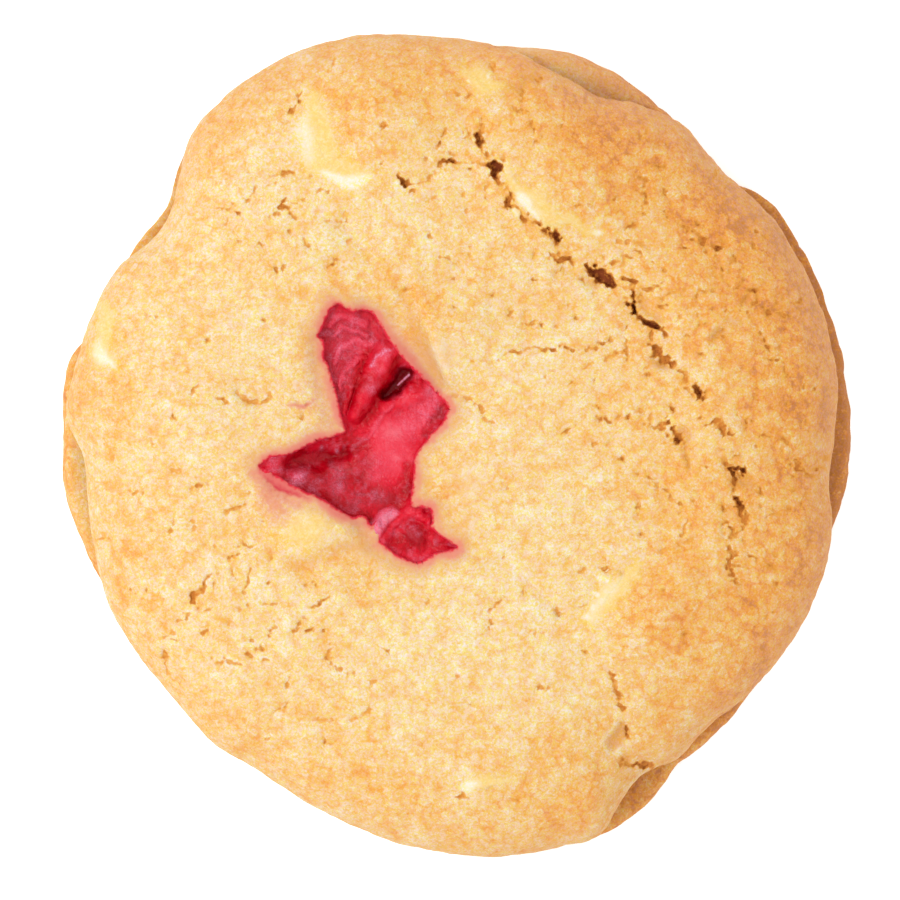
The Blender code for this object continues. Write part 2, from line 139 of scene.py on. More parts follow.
# The torn edge itself, in finer steps, anticlockwise from its upper tip.
TORN_EDGE = (
    (-12.3, 14.15), (-13.0, 13.5), (-13.5, 12.5), (-13.85, 11.6), (-14.15, 10.95), (-13.6, 10.6),
    (-13.5, 9.8), (-13.6, 8.9), (-13.15, 8.0), (-12.8, 7.1), (-12.5, 6.0), (-12.15, 4.9),
    (-11.95, 3.8), (-11.7, 2.7), (-11.4, 1.45), (-12.6, 0.9), (-13.9, 0.55), (-15.3, -0.05),
    (-16.4, -0.6), (-17.5, -1.0), (-18.6, -1.05), (-19.3, -1.4), (-19.95, -1.95), (-19.5, -2.35),
    (-18.6, -2.75), (-17.7, -3.3), (-16.85, -3.85), (-16.2, -4.15), (-15.3, -4.6), (-14.4, -4.95),
    (-13.5, -5.4), (-12.6, -6.05), (-11.7, -6.6), (-10.8, -7.05), (-9.95, -6.95), (-9.25, -7.2),
    (-8.85, -8.0), (-8.35, -7.4), (-7.95, -7.9), (-7.85, -8.8), (-7.95, -9.5), (-7.0, -10.3),
    (-5.9, -11.0), (-4.8, -11.6), (-3.7, -11.4), (-2.6, -10.75), (-1.45, -10.45), (-0.35, -10.05),
    (-1.2, -9.5), (-2.3, -8.75), (-2.9, -8.1), (-2.8, -7.3), (-3.0, -6.35), (-3.7, -6.2),
    (-4.6, -6.1), (-4.9, -5.6), (-4.8, -4.5), (-4.7, -3.2), (-4.6, -1.8), (-4.35, -0.7),
    (-3.7, 0.2), (-2.8, 1.3), (-1.7, 2.4), (-1.35, 3.3), (-1.25, 4.0), (-2.1, 4.95), (-3.2, 6.2),
    (-4.1, 7.1), (-5.0, 8.0), (-5.7, 8.7), (-6.4, 9.6), (-7.1, 10.5), (-7.75, 11.6), (-8.4, 12.7),
    (-8.95, 13.35), (-9.9, 13.55), (-10.6, 13.25), (-11.5, 13.8),
)

# (name, centre of the arc, radius, first bearing, last bearing, half width) of each chunk's bare side.
CHUNK_ARCS = (
    ("white_chocolate_upper_left", (-9.8, 31.8), 5.4, 148, 283, 1.2),
    ("white_chocolate_upper_right", (11.5, 27.6), 5.5, 186, 288, 1.0),
    ("white_chocolate_lower_right", (22.0, -19.4), 9.1, 120, 168, 1.2),
    ("white_chocolate_left_rim", (-32.2, 11.4), 3.7, 138, 230, 0.9),
    ("white_chocolate_beside_berry", (-11.0, -1.4), 8.0, 222, 282, 2.2),
    ("white_chocolate_lower_rim", (0.6, -25.6), 8.5, 264, 300, 0.85),
    ("white_chocolate_top_rim", (4.0, 41.6), 5.9, 218, 272, 0.9),
)

# (x, y, reach, strength) along each soft strip where the chocolate shows yellow, and nearly white. The nearly
# white strips lie on the chunks' flanks toward the key light: the chocolate's own pale colour with painted
# highlight.
YELLOW_STRIPS = (
    ((-14.9, 35.4, 0.8, 0.8), (-15.1, 33.8, 1.2, 1.2), (-15.1, 32.2, 1.4, 1.4), (-14.7, 30.8, 1.7, 1.4),
     (-14.1, 29.6, 1.8, 1.4), (-13.3, 28.5, 1.7, 1.3), (-12.0, 27.7, 1.4, 1.25), (-10.6, 27.2, 1.3, 1.2),
     (-9.4, 27.0, 1.0, 1.0), (-8.6, 26.9, 0.6, 0.6)),
    ((4.6, 27.4, 0.7, 0.8), (5.2, 26.2, 1.2, 1.0), (6.3, 25.2, 1.4, 1.1), (7.5, 24.1, 1.3, 1.1),
     (8.6, 23.1, 1.1, 1.0), (9.9, 22.4, 0.9, 0.9), (11.6, 21.9, 0.9, 0.8), (13.4, 21.5, 0.9, 0.85),
     (14.6, 21.2, 0.6, 0.6)),
    ((5.2, 23.3, 0.6, 1.0), (5.8, 22.8, 0.6, 1.0)),
    ((17.6, -11.2, 0.8, 0.8), (17.3, -12.5, 1.0, 1.1), (16.3, -13.4, 1.2, 1.3), (15.3, -14.3, 1.3, 1.4),
     (14.5, -15.3, 1.3, 1.4), (13.8, -16.4, 1.2, 1.3), (13.1, -17.4, 1.1, 1.1), (12.8, -18.3, 0.9, 0.8)),
    ((-35.7, 14.6, 0.7, 0.9), (-35.6, 13.2, 0.8, 1.0), (-35.7, 11.8, 0.9, 1.1), (-35.8, 10.4, 1.1, 1.1),
     (-35.6, 9.2, 1.2, 1.1), (-34.9, 8.3, 1.0, 1.0), (-34.2, 7.6, 0.7, 0.8)),
    ((0.5, -33.6, 0.8, 1.0), (1.8, -33.1, 1.0, 1.1), (3.0, -32.8, 0.9, 1.0), (4.2, -32.8, 0.6, 0.9),
     (5.4, -33.0, 0.4, 0.5)),
    ((0.2, 38.2, 0.7, 0.8), (1.0, 37.0, 0.9, 1.1), (1.9, 36.1, 1.1, 1.2), (2.8, 35.7, 1.1, 1.2),
     (3.7, 35.8, 0.8, 0.9)),
    ((-17.6, -9.2, 1.6, 0.6), (-16.0, -8.4, 2.1, 0.95), (-14.2, -7.9, 1.9, 0.95), (-12.4, -7.7, 1.4, 0.6)),
    ((-11.4, 25.7, 0.4, 0.7), (-9.8, 25.4, 0.4, 0.7), (-8.5, 25.5, 0.3, 0.5)),
)
WHITE_STRIPS = (
    ((-15.6, 34.6, 0.5, 0.3), (-16.0, 33.0, 0.9, 0.6), (-15.9, 31.4, 1.1, 0.75), (-15.6, 30.0, 1.0, 0.7),
     (-15.0, 28.8, 0.8, 0.5)),
    ((-13.7, 27.2, 0.4, 0.9), (-12.6, 26.9, 0.45, 1.1), (-11.6, 26.45, 0.5, 1.3), (-10.5, 26.3, 0.6, 1.5),
     (-9.6, 26.35, 0.55, 1.4), (-8.8, 26.6, 0.4, 1.0)),
    ((5.6, 25.3, 0.4, 0.7), (6.1, 24.7, 0.6, 1.1), (6.8, 24.2, 0.7, 1.1), (7.0, 23.5, 0.5, 1.0),
     (7.6, 23.0, 0.4, 0.9), (8.3, 22.5, 0.3, 0.6)),
    ((5.2, 23.2, 0.4, 0.8), (5.7, 22.8, 0.4, 0.7)),
    ((12.9, 21.7, 0.3, 0.7), (13.6, 21.4, 0.4, 1.0), (14.1, 21.3, 0.3, 0.7)),
    ((16.2, -12.9, 0.6, 0.4), (14.9, -14.3, 0.8, 0.6), (13.7, -16.0, 0.7, 0.6), (12.8, -17.6, 0.5, 0.5)),
    ((14.3, -12.9, 0.35, 1.0), (14.6, -13.2, 0.35, 0.9)),
    ((13.4, -14.6, 0.35, 1.0), (13.7, -14.9, 0.3, 0.8)),
    ((13.3, -16.1, 0.3, 0.9), (13.2, -16.5, 0.35, 0.9)),
    ((12.5, -17.2, 0.3, 0.9), (12.9, -17.5, 0.3, 0.8)),
    ((11.7, -18.7, 0.3, 0.9), (11.6, -19.1, 0.3, 0.9)),
    ((-36.3, 10.9, 0.4, 0.5), (-36.0, 9.6, 0.6, 0.8), (-35.4, 8.6, 0.6, 1.0), (-34.5, 7.8, 0.4, 0.8)),
    ((-0.2, -34.0, 0.25, 1.0), (0.4, -34.0, 0.6, 1.4), (0.9, -33.6, 0.7, 1.3), (1.6, -33.4, 0.5, 0.7)),
    ((2.6, 36.7, 0.25, 0.8), (2.9, 37.2, 0.2, 0.7)),
    ((0.6, 36.6, 0.2, 0.8), (0.7, 36.4, 0.2, 0.8)),
    ((-6.5, 26.4, 0.25, 1.0), (-6.4, 26.1, 0.25, 1.0)),
    ((-8.7, 33.5, 0.25, 0.8), (-8.5, 33.4, 0.25, 0.8)),
    ((-8.2, 28.3, 0.25, 0.8), (-8.0, 28.2, 0.25, 0.8)),
)

# (x, y, width, depth) along each crack of the crust.
CRACKS = (
    ((2.2, 32.6, 0.25, 0.6), (2.3, 32.0, 0.35, 1.0), (2.5, 31.7, 0.25, 0.6), (2.2, 31.4, 0.3, 0.8),
     (1.9, 31.0, 0.8, 2.2), (2.0, 30.3, 0.65, 2.4), (1.95, 29.8, 0.45, 1.5), (2.3, 29.3, 0.35, 1.2),
     (2.6, 29.0, 0.4, 1.2), (2.5, 28.5, 0.15, 0.3)),
    ((0.1, 28.3, 0.12, 0.3), (1.4, 28.1, 0.15, 0.4), (2.4, 28.0, 0.3, 0.9), (2.75, 27.9, 0.6, 2.0),
     (3.3, 27.9, 1.3, 3.2), (3.75, 27.6, 1.0, 3.2), (3.5, 27.0, 0.8, 2.8), (3.8, 26.5, 0.5, 1.4),
     (4.1, 26.2, 0.3, 1.2), (4.35, 26.0, 0.2, 0.8), (4.8, 25.5, 0.2, 0.8), (5.1, 25.1, 0.3, 1.4),
     (5.1, 24.6, 0.4, 1.6), (4.7, 24.2, 0.8, 2.0), (4.45, 23.9, 0.4, 1.4)),
    ((5.2, 24.1, 0.3, 0.9), (5.7, 23.8, 0.3, 0.8), (6.1, 23.3, 0.2, 0.6), (6.2, 22.8, 0.4, 1.4),
     (6.6, 22.65, 0.6, 1.6), (7.1, 22.4, 0.2, 0.7), (7.8, 22.1, 0.25, 1.6), (8.3, 21.7, 0.25, 1.8),
     (8.8, 21.4, 0.3, 2.0), (9.5, 21.0, 0.65, 2.6), (9.8, 20.5, 0.6, 2.6), (9.8, 20.1, 0.3, 1.6)),
    ((9.8, 19.1, 0.25, 0.9), (9.85, 19.0, 0.2, 0.6)),
    ((9.0, 19.0, 0.5, 0.8), (9.7, 18.6, 0.6, 1.4), (10.4, 18.5, 0.5, 1.8), (11.0, 18.6, 0.35, 2.0),
     (11.3, 18.2, 0.3, 1.2), (11.4, 17.9, 0.2, 0.6)),
    ((12.4, 18.0, 0.25, 1.6), (12.9, 17.6, 0.5, 2.4), (13.6, 17.3, 1.0, 3.2), (14.3, 16.9, 1.25, 3.4),
     (14.9, 16.3, 1.0, 3.4), (15.2, 16.0, 0.5, 2.6)),
    ((13.5, 18.0, 0.25, 2.0), (13.7, 17.5, 0.5, 3.0)),
    ((16.0, 17.1, 0.2, 1.0), (16.3, 16.7, 0.35, 1.4), (17.0, 16.6, 0.5, 1.8), (17.45, 16.3, 0.5, 1.6),
     (17.4, 15.9, 0.2, 1.0), (17.35, 15.1, 0.25, 1.8), (17.5, 14.5, 0.25, 2.2)),
    ((16.8, 14.2, 0.3, 1.8), (17.3, 13.9, 0.55, 3.0), (17.5, 13.4, 0.4, 3.0), (17.7, 12.9, 0.2, 1.4),
     (18.3, 12.5, 0.4, 2.6), (19.0, 12.2, 0.8, 3.2), (19.6, 11.8, 0.7, 3.2), (19.8, 11.6, 0.3, 1.6)),
    ((20.1, 11.7, 0.5, 1.4), (20.7, 11.1, 0.45, 1.4)),
    ((18.9, 10.0, 0.3, 1.4), (19.4, 9.7, 0.7, 2.0), (19.8, 9.2, 0.9, 1.8), (20.1, 8.7, 0.7, 1.6),
     (20.6, 8.7, 0.8, 1.9), (21.2, 8.1, 0.7, 1.6), (21.5, 7.6, 0.2, 0.5)),
    ((21.8, 7.4, 0.3, 0.8), (22.5, 7.3, 0.5, 1.0), (22.5, 6.5, 0.4, 0.8)),
    ((21.6, 5.5, 0.4, 0.7), (21.9, 5.3, 0.4, 0.6)),
    ((23.2, 6.0, 0.25, 1.6), (23.7, 5.7, 0.8, 2.4), (23.95, 5.3, 0.8, 2.4), (24.0, 4.9, 0.5, 2.0),
     (24.2, 4.5, 0.35, 1.6)),
    ((20.8, 3.9, 0.15, 0.8), (21.2, 3.5, 0.25, 1.6)),
    ((19.4, 1.9, 0.4, 0.8), (20.0, 1.9, 0.7, 1.2), (20.7, 2.1, 0.5, 1.2), (21.0, 2.3, 0.3, 1.8),
     (21.2, 1.7, 0.4, 1.6), (21.6, 1.2, 0.6, 1.4), (21.8, 0.6, 0.6, 2.2)),
    ((22.3, 0.2, 0.4, 0.5), (22.6, -1.0, 0.35, 0.5), (22.9, -2.2, 0.3, 0.4)),
    ((24.5, 2.2, 0.3, 0.8), (25.2, 2.5, 0.5, 1.2), (25.8, 2.2, 1.1, 1.1), (26.2, 1.8, 1.0, 1.5),
     (26.5, 1.2, 0.5, 1.4), (27.1, 1.0, 0.25, 1.4)),
    ((27.7, 3.1, 0.3, 0.6), (28.3, 2.6, 0.3, 0.8), (28.7, 1.9, 0.25, 1.2)),
    ((27.6, -2.3, 0.5, 2.2), (26.8, -2.4, 0.25, 2.2), (27.2, -2.7, 0.4, 2.4), (27.4, -3.3, 0.3, 1.6),
     (27.3, -4.0, 0.2, 1.4), (27.4, -4.9, 0.15, 0.6), (27.4, -5.2, 0.4, 2.0), (27.6, -5.7, 0.8, 2.4),
     (28.1, -6.1, 0.6, 2.2), (28.1, -6.8, 0.5, 1.6), (28.5, -7.0, 0.4, 1.2), (28.3, -7.8, 0.3, 0.9),
     (28.3, -8.2, 0.3, 0.9), (27.6, -8.7, 0.5, 0.9), (27.0, -9.1, 0.5, 0.9)),
    ((27.6, -2.3, 0.4, 2.0), (28.1, -2.5, 0.6, 2.4), (28.6, -2.8, 0.4, 2.0)),
    ((30.0, -4.5, 0.3, 1.2), (30.1, -4.6, 0.2, 0.9)),
    ((26.6, -10.0, 0.3, 0.9), (27.1, -10.4, 0.6, 1.1), (27.3, -11.0, 0.5, 1.1), (26.8, -11.5, 0.4, 1.4),
     (26.8, -12.2, 0.6, 1.3), (27.2, -12.9, 0.5, 1.3)),
    ((27.2, -13.4, 0.4, 1.2), (27.5, -13.6, 0.4, 1.0)),
    ((33.4, -1.4, 0.4, 1.0), (33.8, -2.1, 0.7, 1.5), (34.5, -2.6, 0.5, 1.0), (35.2, -3.1, 0.25, 0.6)),
    ((35.9, -1.6, 0.25, 0.6), (36.6, -1.1, 0.2, 0.6)),
    ((33.0, -4.6, 0.25, 0.6), (33.7, -4.4, 0.2, 0.6)),
    ((33.0, -6.3, 0.25, 0.9), (33.0, -6.5, 0.2, 0.7)),
    ((30.0, -6.0, 0.3, 0.7), (30.3, -6.0, 0.2, 0.6)),
    ((30.3, -7.2, 0.2, 0.7), (31.5, -6.7, 0.2, 0.6)),
    ((32.0, 1.0, 0.5, 1.1), (32.4, 0.6, 0.4, 1.0), (32.6, 0.2, 0.3, 0.8)),
    ((30.0, 6.6, 0.3, 0.7), (30.6, 6.4, 0.3, 0.7)),
    ((32.7, 4.2, 0.3, 0.8), (33.3, 4.3, 0.2, 0.6)),
    ((32.3, 7.6, 0.3, 0.8), (32.6, 7.0, 0.3, 0.7)),
    ((14.9, -22.4, 0.3, 0.6), (15.3, -22.8, 0.5, 1.1), (15.2, -23.3, 0.4, 1.1), (15.5, -23.6, 0.25, 0.9),
     (15.55, -24.5, 0.4, 1.0), (15.8, -24.9, 0.4, 1.4), (15.8, -25.3, 0.2, 0.8), (16.1, -26.0, 0.75, 1.3),
     (16.1, -26.4, 0.4, 0.9)),
    ((16.4, -27.8, 0.25, 1.2), (16.6, -28.1, 0.25, 1.8), (16.8, -28.8, 0.2, 1.4)),
    ((16.1, -31.2, 0.3, 1.2), (16.2, -31.8, 0.5, 1.0), (17.0, -31.9, 0.4, 0.9), (17.5, -31.8, 0.35, 1.8),
     (18.3, -31.9, 0.45, 2.0), (19.0, -31.8, 0.4, 1.7), (19.2, -32.3, 0.3, 1.4)),
    ((-15.8, 35.2, 0.3, 0.8), (-16.2, 34.4, 0.35, 1.2)),
    ((-16.4, 33.9, 0.3, 1.0), (-16.9, 33.5, 0.45, 1.4), (-17.0, 33.2, 0.3, 0.8)),
    ((-16.7, 33.1, 0.2, 0.5), (-17.1, 32.5, 0.2, 0.5)),
    ((-12.4, 38.7, 0.2, 0.5), (-13.0, 37.6, 0.25, 0.6), (-13.4, 36.6, 0.2, 0.4)),
    ((-18.9, 27.0, 0.2, 0.4), (-18.0, 27.1, 0.25, 0.6), (-17.4, 27.3, 0.4, 1.2), (-16.8, 27.2, 0.3, 0.8)),
    ((-15.8, 26.8, 0.15, 0.5), (-14.8, 27.0, 0.15, 0.4)),
    ((-17.5, 24.6, 0.2, 0.9), (-17.7, 24.0, 0.6, 1.4), (-17.2, 23.8, 0.4, 1.4), (-16.9, 23.2, 0.25, 1.0),
     (-16.3, 22.6, 0.2, 0.6)),
    ((-17.8, 23.9, 0.5, 1.3), (-18.3, 23.3, 0.3, 0.9), (-19.0, 22.7, 0.2, 0.6)),
    ((-17.1, 21.5, 0.35, 0.9), (-16.9, 21.4, 0.3, 0.7)),
    ((-15.7, 20.6, 0.15, 0.4), (-15.1, 20.0, 0.25, 0.6)),
    ((-15.4, 24.8, 0.15, 0.5), (-16.2, 24.1, 0.2, 0.5)),
    ((-23.7, 23.7, 0.2, 0.6), (-23.0, 23.6, 0.25, 0.6)),
    ((-13.2, 22.3, 0.2, 0.5), (-12.0, 21.9, 0.3, 0.5), (-11.3, 22.4, 0.25, 0.5)),
    ((-6.4, 27.1, 0.25, 1.4), (-5.9, 26.5, 0.5, 2.0), (-5.6, 26.1, 0.8, 2.2), (-4.9, 26.1, 0.35, 1.4),
     (-4.3, 26.2, 0.12, 0.4), (-3.4, 26.5, 0.2, 0.6), (-2.8, 27.0, 0.25, 0.8), (-2.3, 27.6, 0.15, 0.4),
     (-2.0, 28.2, 0.3, 1.4), (-1.5, 28.4, 0.45, 1.8), (-0.8, 28.2, 0.5, 2.2), (-0.3, 28.2, 0.2, 0.6)),
    ((-0.9, 29.1, 0.3, 0.9), (-0.6, 29.0, 0.2, 0.6)),
    ((0.8, 34.7, 0.2, 0.8), (1.1, 35.0, 0.25, 0.8), (1.6, 34.8, 0.2, 0.6)),
    ((3.1, 38.2, 0.3, 0.7), (3.4, 37.7, 0.3, 0.8), (3.5, 37.3, 0.2, 0.6)),
    ((6.3, 35.6, 0.3, 0.9), (6.2, 34.8, 0.3, 0.8), (6.1, 34.4, 0.15, 0.6)),
    ((7.6, 36.4, 0.3, 0.8), (8.1, 36.6, 0.4, 0.9)),
    ((7.2, 32.3, 0.2, 0.7), (7.3, 31.7, 0.3, 0.9), (7.25, 31.1, 0.15, 0.6)),
    ((10.3, 32.2, 0.3, 0.8), (10.1, 31.8, 0.15, 0.6)),
    ((1.2, 8.4, 0.12, 0.3), (3.4, 8.45, 0.12, 0.3), (4.0, 8.9, 0.15, 0.5), (4.9, 9.2, 0.3, 1.0),
     (5.7, 9.3, 0.35, 1.2), (6.2, 9.4, 0.15, 0.6), (7.3, 9.9, 0.12, 0.4), (8.0, 9.7, 0.2, 0.6),
     (8.7, 9.5, 0.3, 1.1), (9.3, 9.5, 0.3, 1.4)),
    ((9.9, 9.95, 0.2, 0.8), (10.5, 9.8, 0.3, 1.5), (11.2, 9.5, 0.25, 1.0), (12.0, 9.65, 0.15, 0.5),
     (12.7, 9.4, 0.15, 0.7), (13.7, 9.7, 0.2, 0.9)),
    ((6.4, 12.2, 0.3, 0.6), (7.0, 12.0, 0.4, 0.8), (7.3, 12.4, 0.25, 0.9)),
    ((15.7, 20.4, 0.25, 0.5), (16.5, 20.3, 0.35, 0.8), (17.1, 20.9, 0.25, 0.7)),
    ((21.8, 22.1, 0.15, 0.6), (22.3, 21.9, 0.25, 0.9), (23.0, 21.7, 0.2, 0.8), (23.6, 21.3, 0.3, 1.0),
     (23.8, 20.9, 0.25, 0.8), (23.9, 20.5, 0.5, 1.4), (24.3, 20.3, 0.6, 1.7), (24.4, 19.9, 0.3, 1.0),
     (24.8, 19.4, 0.35, 1.0)),
    ((25.3, 20.1, 0.3, 1.2), (25.6, 19.9, 0.5, 1.8), (25.9, 19.9, 0.4, 1.6)),
    ((26.1, 20.6, 0.15, 0.6), (26.8, 20.2, 0.12, 0.5)),
    ((25.2, 19.1, 0.15, 0.6), (25.6, 19.0, 0.2, 0.9), (26.0, 18.7, 0.15, 0.7)),
    ((27.3, 19.7, 0.1, 0.4), (28.4, 19.6, 0.15, 0.6), (29.5, 19.1, 0.1, 0.4)),
    ((20.3, 25.6, 0.3, 0.8), (20.7, 24.9, 0.2, 0.8), (21.1, 24.1, 0.3, 1.1)),
    ((20.4, 23.4, 0.2, 0.7), (20.6, 22.7, 0.2, 0.7)),
    ((18.0, 26.7, 0.6, 0.9), (18.6, 26.4, 0.5, 0.8), (18.4, 25.8, 0.3, 0.7)),
    ((18.5, 25.2, 0.3, 0.9), (18.6, 24.4, 0.35, 0.9)),
    ((18.0, 23.2, 0.4, 0.8), (18.6, 23.0, 0.3, 0.7)),
    ((19.8, 27.9, 0.5, 0.9), (20.4, 27.7, 0.3, 0.8)),
    ((25.3, 27.4, 0.15, 0.6), (25.5, 26.9, 0.2, 0.7), (25.4, 26.4, 0.2, 0.7)),
    ((28.9, 15.6, 0.3, 1.0), (29.2, 15.4, 0.4, 1.4), (29.6, 15.3, 0.45, 1.7), (30.0, 15.4, 0.2, 0.8)),
    ((30.3, 13.9, 0.2, 0.9), (30.7, 13.4, 0.45, 1.3), (31.1, 13.1, 0.3, 1.3), (31.6, 13.3, 0.3, 1.0),
     (32.3, 13.0, 0.35, 1.1), (33.3, 12.8, 0.15, 0.6)),
    ((28.8, 13.4, 0.2, 0.7), (29.0, 12.9, 0.2, 0.8)),
    ((29.4, 11.6, 0.25, 0.9), (29.9, 11.6, 0.2, 0.9), (30.3, 10.9, 0.2, 1.0), (30.4, 10.2, 0.3, 1.2),
     (30.6, 9.6, 0.35, 1.4), (31.0, 9.4, 0.15, 0.7)),
    ((23.4, 11.9, 0.15, 0.5), (24.6, 12.1, 0.2, 0.6)),
    ((22.4, 11.2, 0.25, 0.7), (22.8, 11.0, 0.3, 0.8)),
    ((-1.1, 4.8, 0.2, 0.5), (0.3, 5.0, 0.25, 0.6), (1.9, 4.0, 0.3, 0.9), (2.8, 2.6, 0.15, 0.5),
     (3.7, 2.2, 0.15, 0.4)),
    ((9.7, -16.3, 0.4, 0.8), (9.9, -16.9, 0.3, 0.7)),
    ((12.0, -20.4, 0.2, 0.7), (12.5, -20.6, 0.25, 0.8)),
    ((-22.2, 5.3, 0.3, 0.4), (-21.0, 4.3, 0.6, 0.8), (-20.1, 4.6, 0.4, 0.6)),
    ((-23.3, -6.7, 0.2, 0.7), (-22.3, -6.2, 0.25, 0.8), (-21.5, -5.8, 0.15, 0.5)),
    ((-23.2, -11.0, 0.3, 1.0), (-22.9, -11.1, 0.3, 1.0), (-22.0, -10.9, 0.2, 0.6)),
    ((-20.8, -12.3, 0.3, 0.8), (-20.7, -12.5, 0.2, 0.7)),
    ((-24.1, -12.6, 0.15, 0.5), (-24.9, -12.9, 0.15, 0.6), (-25.4, -13.5, 0.2, 0.8),
     (-25.5, -14.0, 0.3, 1.4), (-25.9, -14.6, 0.2, 0.8), (-26.6, -14.7, 0.5, 1.5), (-26.7, -15.4, 0.45, 1.6),
     (-26.4, -15.9, 0.25, 0.9), (-25.7, -16.4, 0.2, 0.7), (-24.9, -16.4, 0.15, 0.6)),
    ((-27.2, -16.8, 0.25, 0.6), (-27.3, -17.2, 0.35, 0.8), (-28.2, -17.5, 0.25, 0.5)),
    ((-25.7, -18.5, 0.45, 0.9), (-25.3, -18.4, 0.3, 0.7)),
    ((-28.7, -18.5, 0.4, 0.5), (-28.6, -18.9, 0.3, 0.4)),
    ((-29.5, -20.6, 0.35, 1.0), (-29.5, -21.4, 0.3, 0.9), (-29.4, -22.1, 0.2, 0.6),
     (-29.2, -22.8, 0.15, 0.4)),
    ((-24.9, -21.4, 0.15, 0.4), (-23.8, -21.5, 0.25, 0.6), (-23.3, -21.3, 0.25, 0.7),
     (-22.9, -21.6, 0.2, 0.6), (-22.0, -21.9, 0.25, 0.6)),
    ((-19.1, -18.9, 0.3, 0.8), (-18.8, -18.4, 0.35, 0.9), (-18.3, -18.2, 0.2, 0.6)),
    ((-20.8, -19.4, 0.35, 0.7), (-20.5, -19.6, 0.3, 0.6)),
    ((-21.3, -20.7, 0.45, 0.9), (-20.9, -20.9, 0.4, 0.8)),
    ((-19.4, -21.2, 0.3, 0.8), (-19.1, -21.3, 0.25, 0.7)),
    ((-32.8, -14.3, 0.3, 0.7), (-32.4, -14.8, 0.25, 0.5)),
    ((-21.9, -16.3, 0.2, 0.6), (-21.2, -15.9, 0.25, 0.6)),
    ((-19.5, -15.7, 0.2, 0.4), (-18.2, -15.9, 0.25, 0.6)),
    ((-13.1, -19.9, 0.25, 0.6), (-13.3, -21.2, 0.35, 0.9), (-12.3, -22.2, 0.3, 0.7),
     (-10.7, -22.6, 0.2, 0.5)),
    ((-9.0, -23.8, 0.3, 0.6), (-8.5, -23.6, 0.25, 0.6)),
    ((-18.5, -26.5, 0.2, 0.5), (-17.3, -25.7, 0.3, 0.7)),
    ((-14.7, -27.4, 0.2, 0.4), (-12.7, -27.5, 0.25, 0.5)),
    ((-10.8, -27.5, 0.2, 0.4), (-9.0, -26.2, 0.3, 0.6)),
    ((-19.3, -29.1, 0.3, 0.5), (-18.9, -29.0, 0.2, 0.5)),
    ((-0.4, -35.0, 0.25, 0.8), (0.2, -34.9, 0.25, 0.9), (0.8, -35.1, 0.15, 0.6)),
    ((4.6, -35.0, 0.15, 0.6), (5.8, -35.2, 0.15, 0.6)),
)

# (x, y, reach, depth) along each soft dent, whose slopes are drawn tan as painted shade.
DENTS = (
    ((9.9, 20.1, 0.4, 0.4), (10.9, 19.6, 0.4, 0.3)),
    ((10.4, 17.6, 0.8, 0.5), (11.0, 17.3, 0.6, 0.4)),
    ((12.6, 16.6, 0.8, 0.5), (13.6, 16.0, 1.0, 0.5)),
    ((18.0, 15.2, 0.9, 0.5), (18.3, 14.2, 1.2, 0.8), (18.6, 13.4, 0.8, 0.7), (20.0, 12.6, 0.7, 0.6)),
    ((19.6, 8.2, 0.9, 0.7), (20.4, 8.0, 0.9, 0.7)),
    ((22.2, 1.5, 0.9, 0.8), (22.9, 1.0, 0.9, 0.7), (22.5, -0.4, 0.6, 0.4), (22.9, -2.0, 0.6, 0.3)),
    ((27.8, -3.3, 1.0, 1.0), (28.6, -3.5, 1.2, 0.9), (29.4, -3.9, 0.7, 0.6)),
    ((28.1, -13.8, 0.5, 0.6), (28.0, -14.3, 0.4, 0.5)),
    ((16.2, -27.6, 0.6, 0.7), (16.0, -28.6, 1.2, 1.0), (15.5, -29.4, 1.5, 1.0), (15.1, -29.9, 0.9, 0.9)),
    ((16.6, -31.2, 0.8, 0.6), (16.7, -31.6, 0.8, 0.6)),
    ((5.5, 35.9, 0.8, 0.5), (6.2, 35.7, 1.0, 0.7), (6.8, 36.9, 0.9, 0.5), (7.6, 36.8, 1.2, 0.7)),
    ((0.0, -10.4, 0.4, 0.2), (2.7, -11.6, 0.9, 0.3), (4.7, -11.9, 0.8, 0.3), (7.0, -13.9, 0.7, 0.3),
     (9.9, -16.8, 0.6, 0.4)),
    ((-29.6, -20.4, 1.0, 0.4), (-29.4, -22.6, 0.7, 0.3)),
    ((-22.0, 5.2, 1.2, 0.3), (-20.6, 4.4, 1.4, 0.4)),
    ((-18.2, -10.6, 1.4, 0.2), (-16.0, -12.0, 1.8, 0.5), (-13.8, -11.4, 1.8, 0.45), (-11.8, -10.1, 1.4, 0.55),
     (-9.8, -9.9, 1.2, 0.45), (-8.0, -10.6, 1.0, 0.35), (-5.6, -12.2, 1.0, 0.4), (-2.8, -11.9, 0.6, 0.2)),
    ((-11.6, 21.9, 1.2, 0.3), (-9.0, 18.6, 1.2, 0.3)),
    ((-5.7, 15.8, 1.2, 0.3), (-5.0, 13.5, 1.7, 0.5), (-4.4, 11.5, 1.7, 0.65), (-3.7, 9.6, 1.5, 0.85),
     (-2.8, 7.9, 1.1, 0.85), (-1.9, 6.3, 0.8, 0.6)),
    ((-17.2, -6.2, 0.9, 0.35), (-15.4, -5.9, 0.8, 0.45), (-13.9, -6.2, 0.5, 0.3)),
    ((27.0, 12.4, 0.9, 0.5), (28.0, 12.3, 0.9, 0.5)),
    ((25.2, 10.9, 0.6, 0.7), (25.8, 11.4, 0.8, 0.8), (26.5, 11.5, 0.6, 0.5)),
    ((28.5, 14.9, 0.6, 0.5), (28.6, 14.5, 0.6, 0.5)),
)

